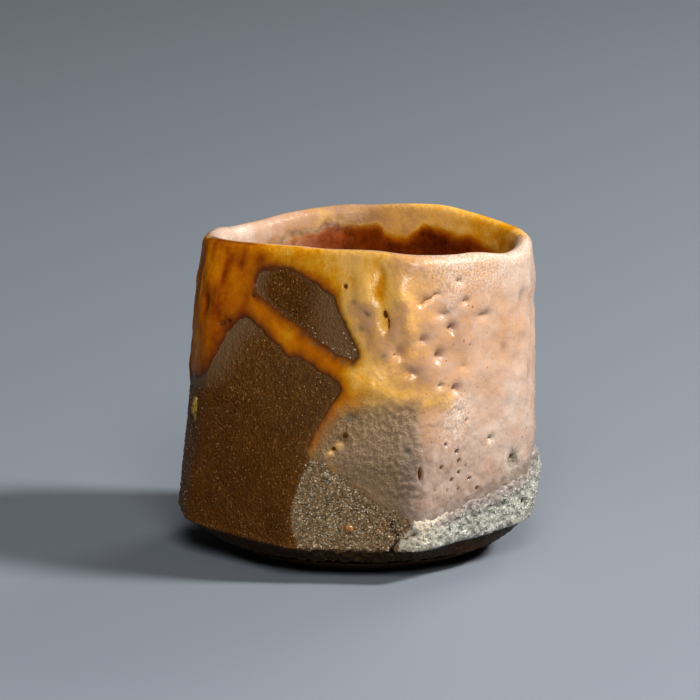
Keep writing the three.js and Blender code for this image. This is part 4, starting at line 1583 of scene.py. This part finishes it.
class SAKE_OT_stage(bpy.types.Operator):
    """Set the floor, the lights and the camera"""

    bl_idname = "sake.stage"
    bl_label = "Stage"

    def execute(self, context):
        scene = context.scene
        bpy.ops.mesh.primitive_plane_add(size=FLOOR_SIZE, location=(0, 0, 0))
        floor = context.object
        floor.name = "floor"
        paint = Finish("pale_floor")
        floor.data.materials.append(paint.set(Base_Color=(*scene.cup_colours.floor, 1.0), Roughness=0.6))
        for lamp in LAMPS:
            self.light(*lamp)
        world = bpy.data.worlds.new("studio")
        world.use_nodes = True
        sky = world.node_tree.nodes["Background"]
        sky.inputs["Color"].default_value = WORLD_COLOUR
        sky.inputs["Strength"].default_value = WORLD_STRENGTH
        scene.world = world
        scene.view_settings.view_transform = "Standard"
        scene.view_settings.look = "Medium High Contrast"
        camera_data = bpy.data.cameras.new("camera")
        camera_data.lens = CAMERA_LENS
        camera_data.sensor_width = 36.0
        camera_data.clip_end = 20.0
        camera = bpy.data.objects.new("camera", camera_data)
        scene.collection.objects.link(camera)
        elevation = math.radians(CAMERA_ELEVATION)
        aim = Vector((AXIS[0] + CAMERA_AIM[0] * MM, AXIS[1], CAMERA_AIM[1] * MM))
        camera.location = aim + Vector((0, -math.cos(elevation), math.sin(elevation)))
        camera.rotation_euler = (aim - camera.location).to_track_quat("-Z", "Y").to_euler()
        scene.camera = camera
        return {"FINISHED"}

    def light(self, name, place, size, power, color):
        data = bpy.data.lights.new(name, "AREA")
        data.shape = "DISK"
        data.size = size
        data.energy = power
        data.color = color
        lamp = bpy.data.objects.new(name, data)
        lamp.location = place
        lamp.rotation_euler = (Vector(LAMP_AIM) - Vector(place)).to_track_quat("-Z", "Y").to_euler()
        bpy.context.scene.collection.objects.link(lamp)


OPERATORS = (
    SAKE_OT_clay,
    SAKE_OT_foot,
    SAKE_OT_outer_glaze,
    SAKE_OT_inner_glaze,
    SAKE_OT_ash,
    SAKE_OT_beads,
    SAKE_OT_stage,
)


class SAKE_PT_panel(bpy.types.Panel):
    """Lists the cup's pieces"""

    bl_idname = "SAKE_PT_panel"
    bl_label = "Sake cup"
    bl_space_type = "VIEW_3D"
    bl_region_type = "UI"
    bl_category = "Sake cup"

    def draw(self, context):
        for name in CupForm.__annotations__:
            self.layout.prop(context.scene.cup_form, name)
        for name in CupColours.__annotations__:
            self.layout.prop(context.scene.cup_colours, name)
        for operator in OPERATORS:
            self.layout.operator(operator.bl_idname)


CLASSES = (CupForm, CupColours, *OPERATORS, SAKE_PT_panel)


def register():
    for cls in CLASSES:
        bpy.utils.register_class(cls)
    bpy.types.Scene.cup_form = PointerProperty(type=CupForm)
    bpy.types.Scene.cup_colours = PointerProperty(type=CupColours)


def unregister():
    del bpy.types.Scene.cup_form
    del bpy.types.Scene.cup_colours
    for cls in reversed(CLASSES):
        bpy.utils.unregister_class(cls)


def main():
    register()
    for operator in OPERATORS:
        group, name = operator.bl_idname.split(".")
        getattr(getattr(bpy.ops, group), name)()


if __name__ == "__main__":
    main()
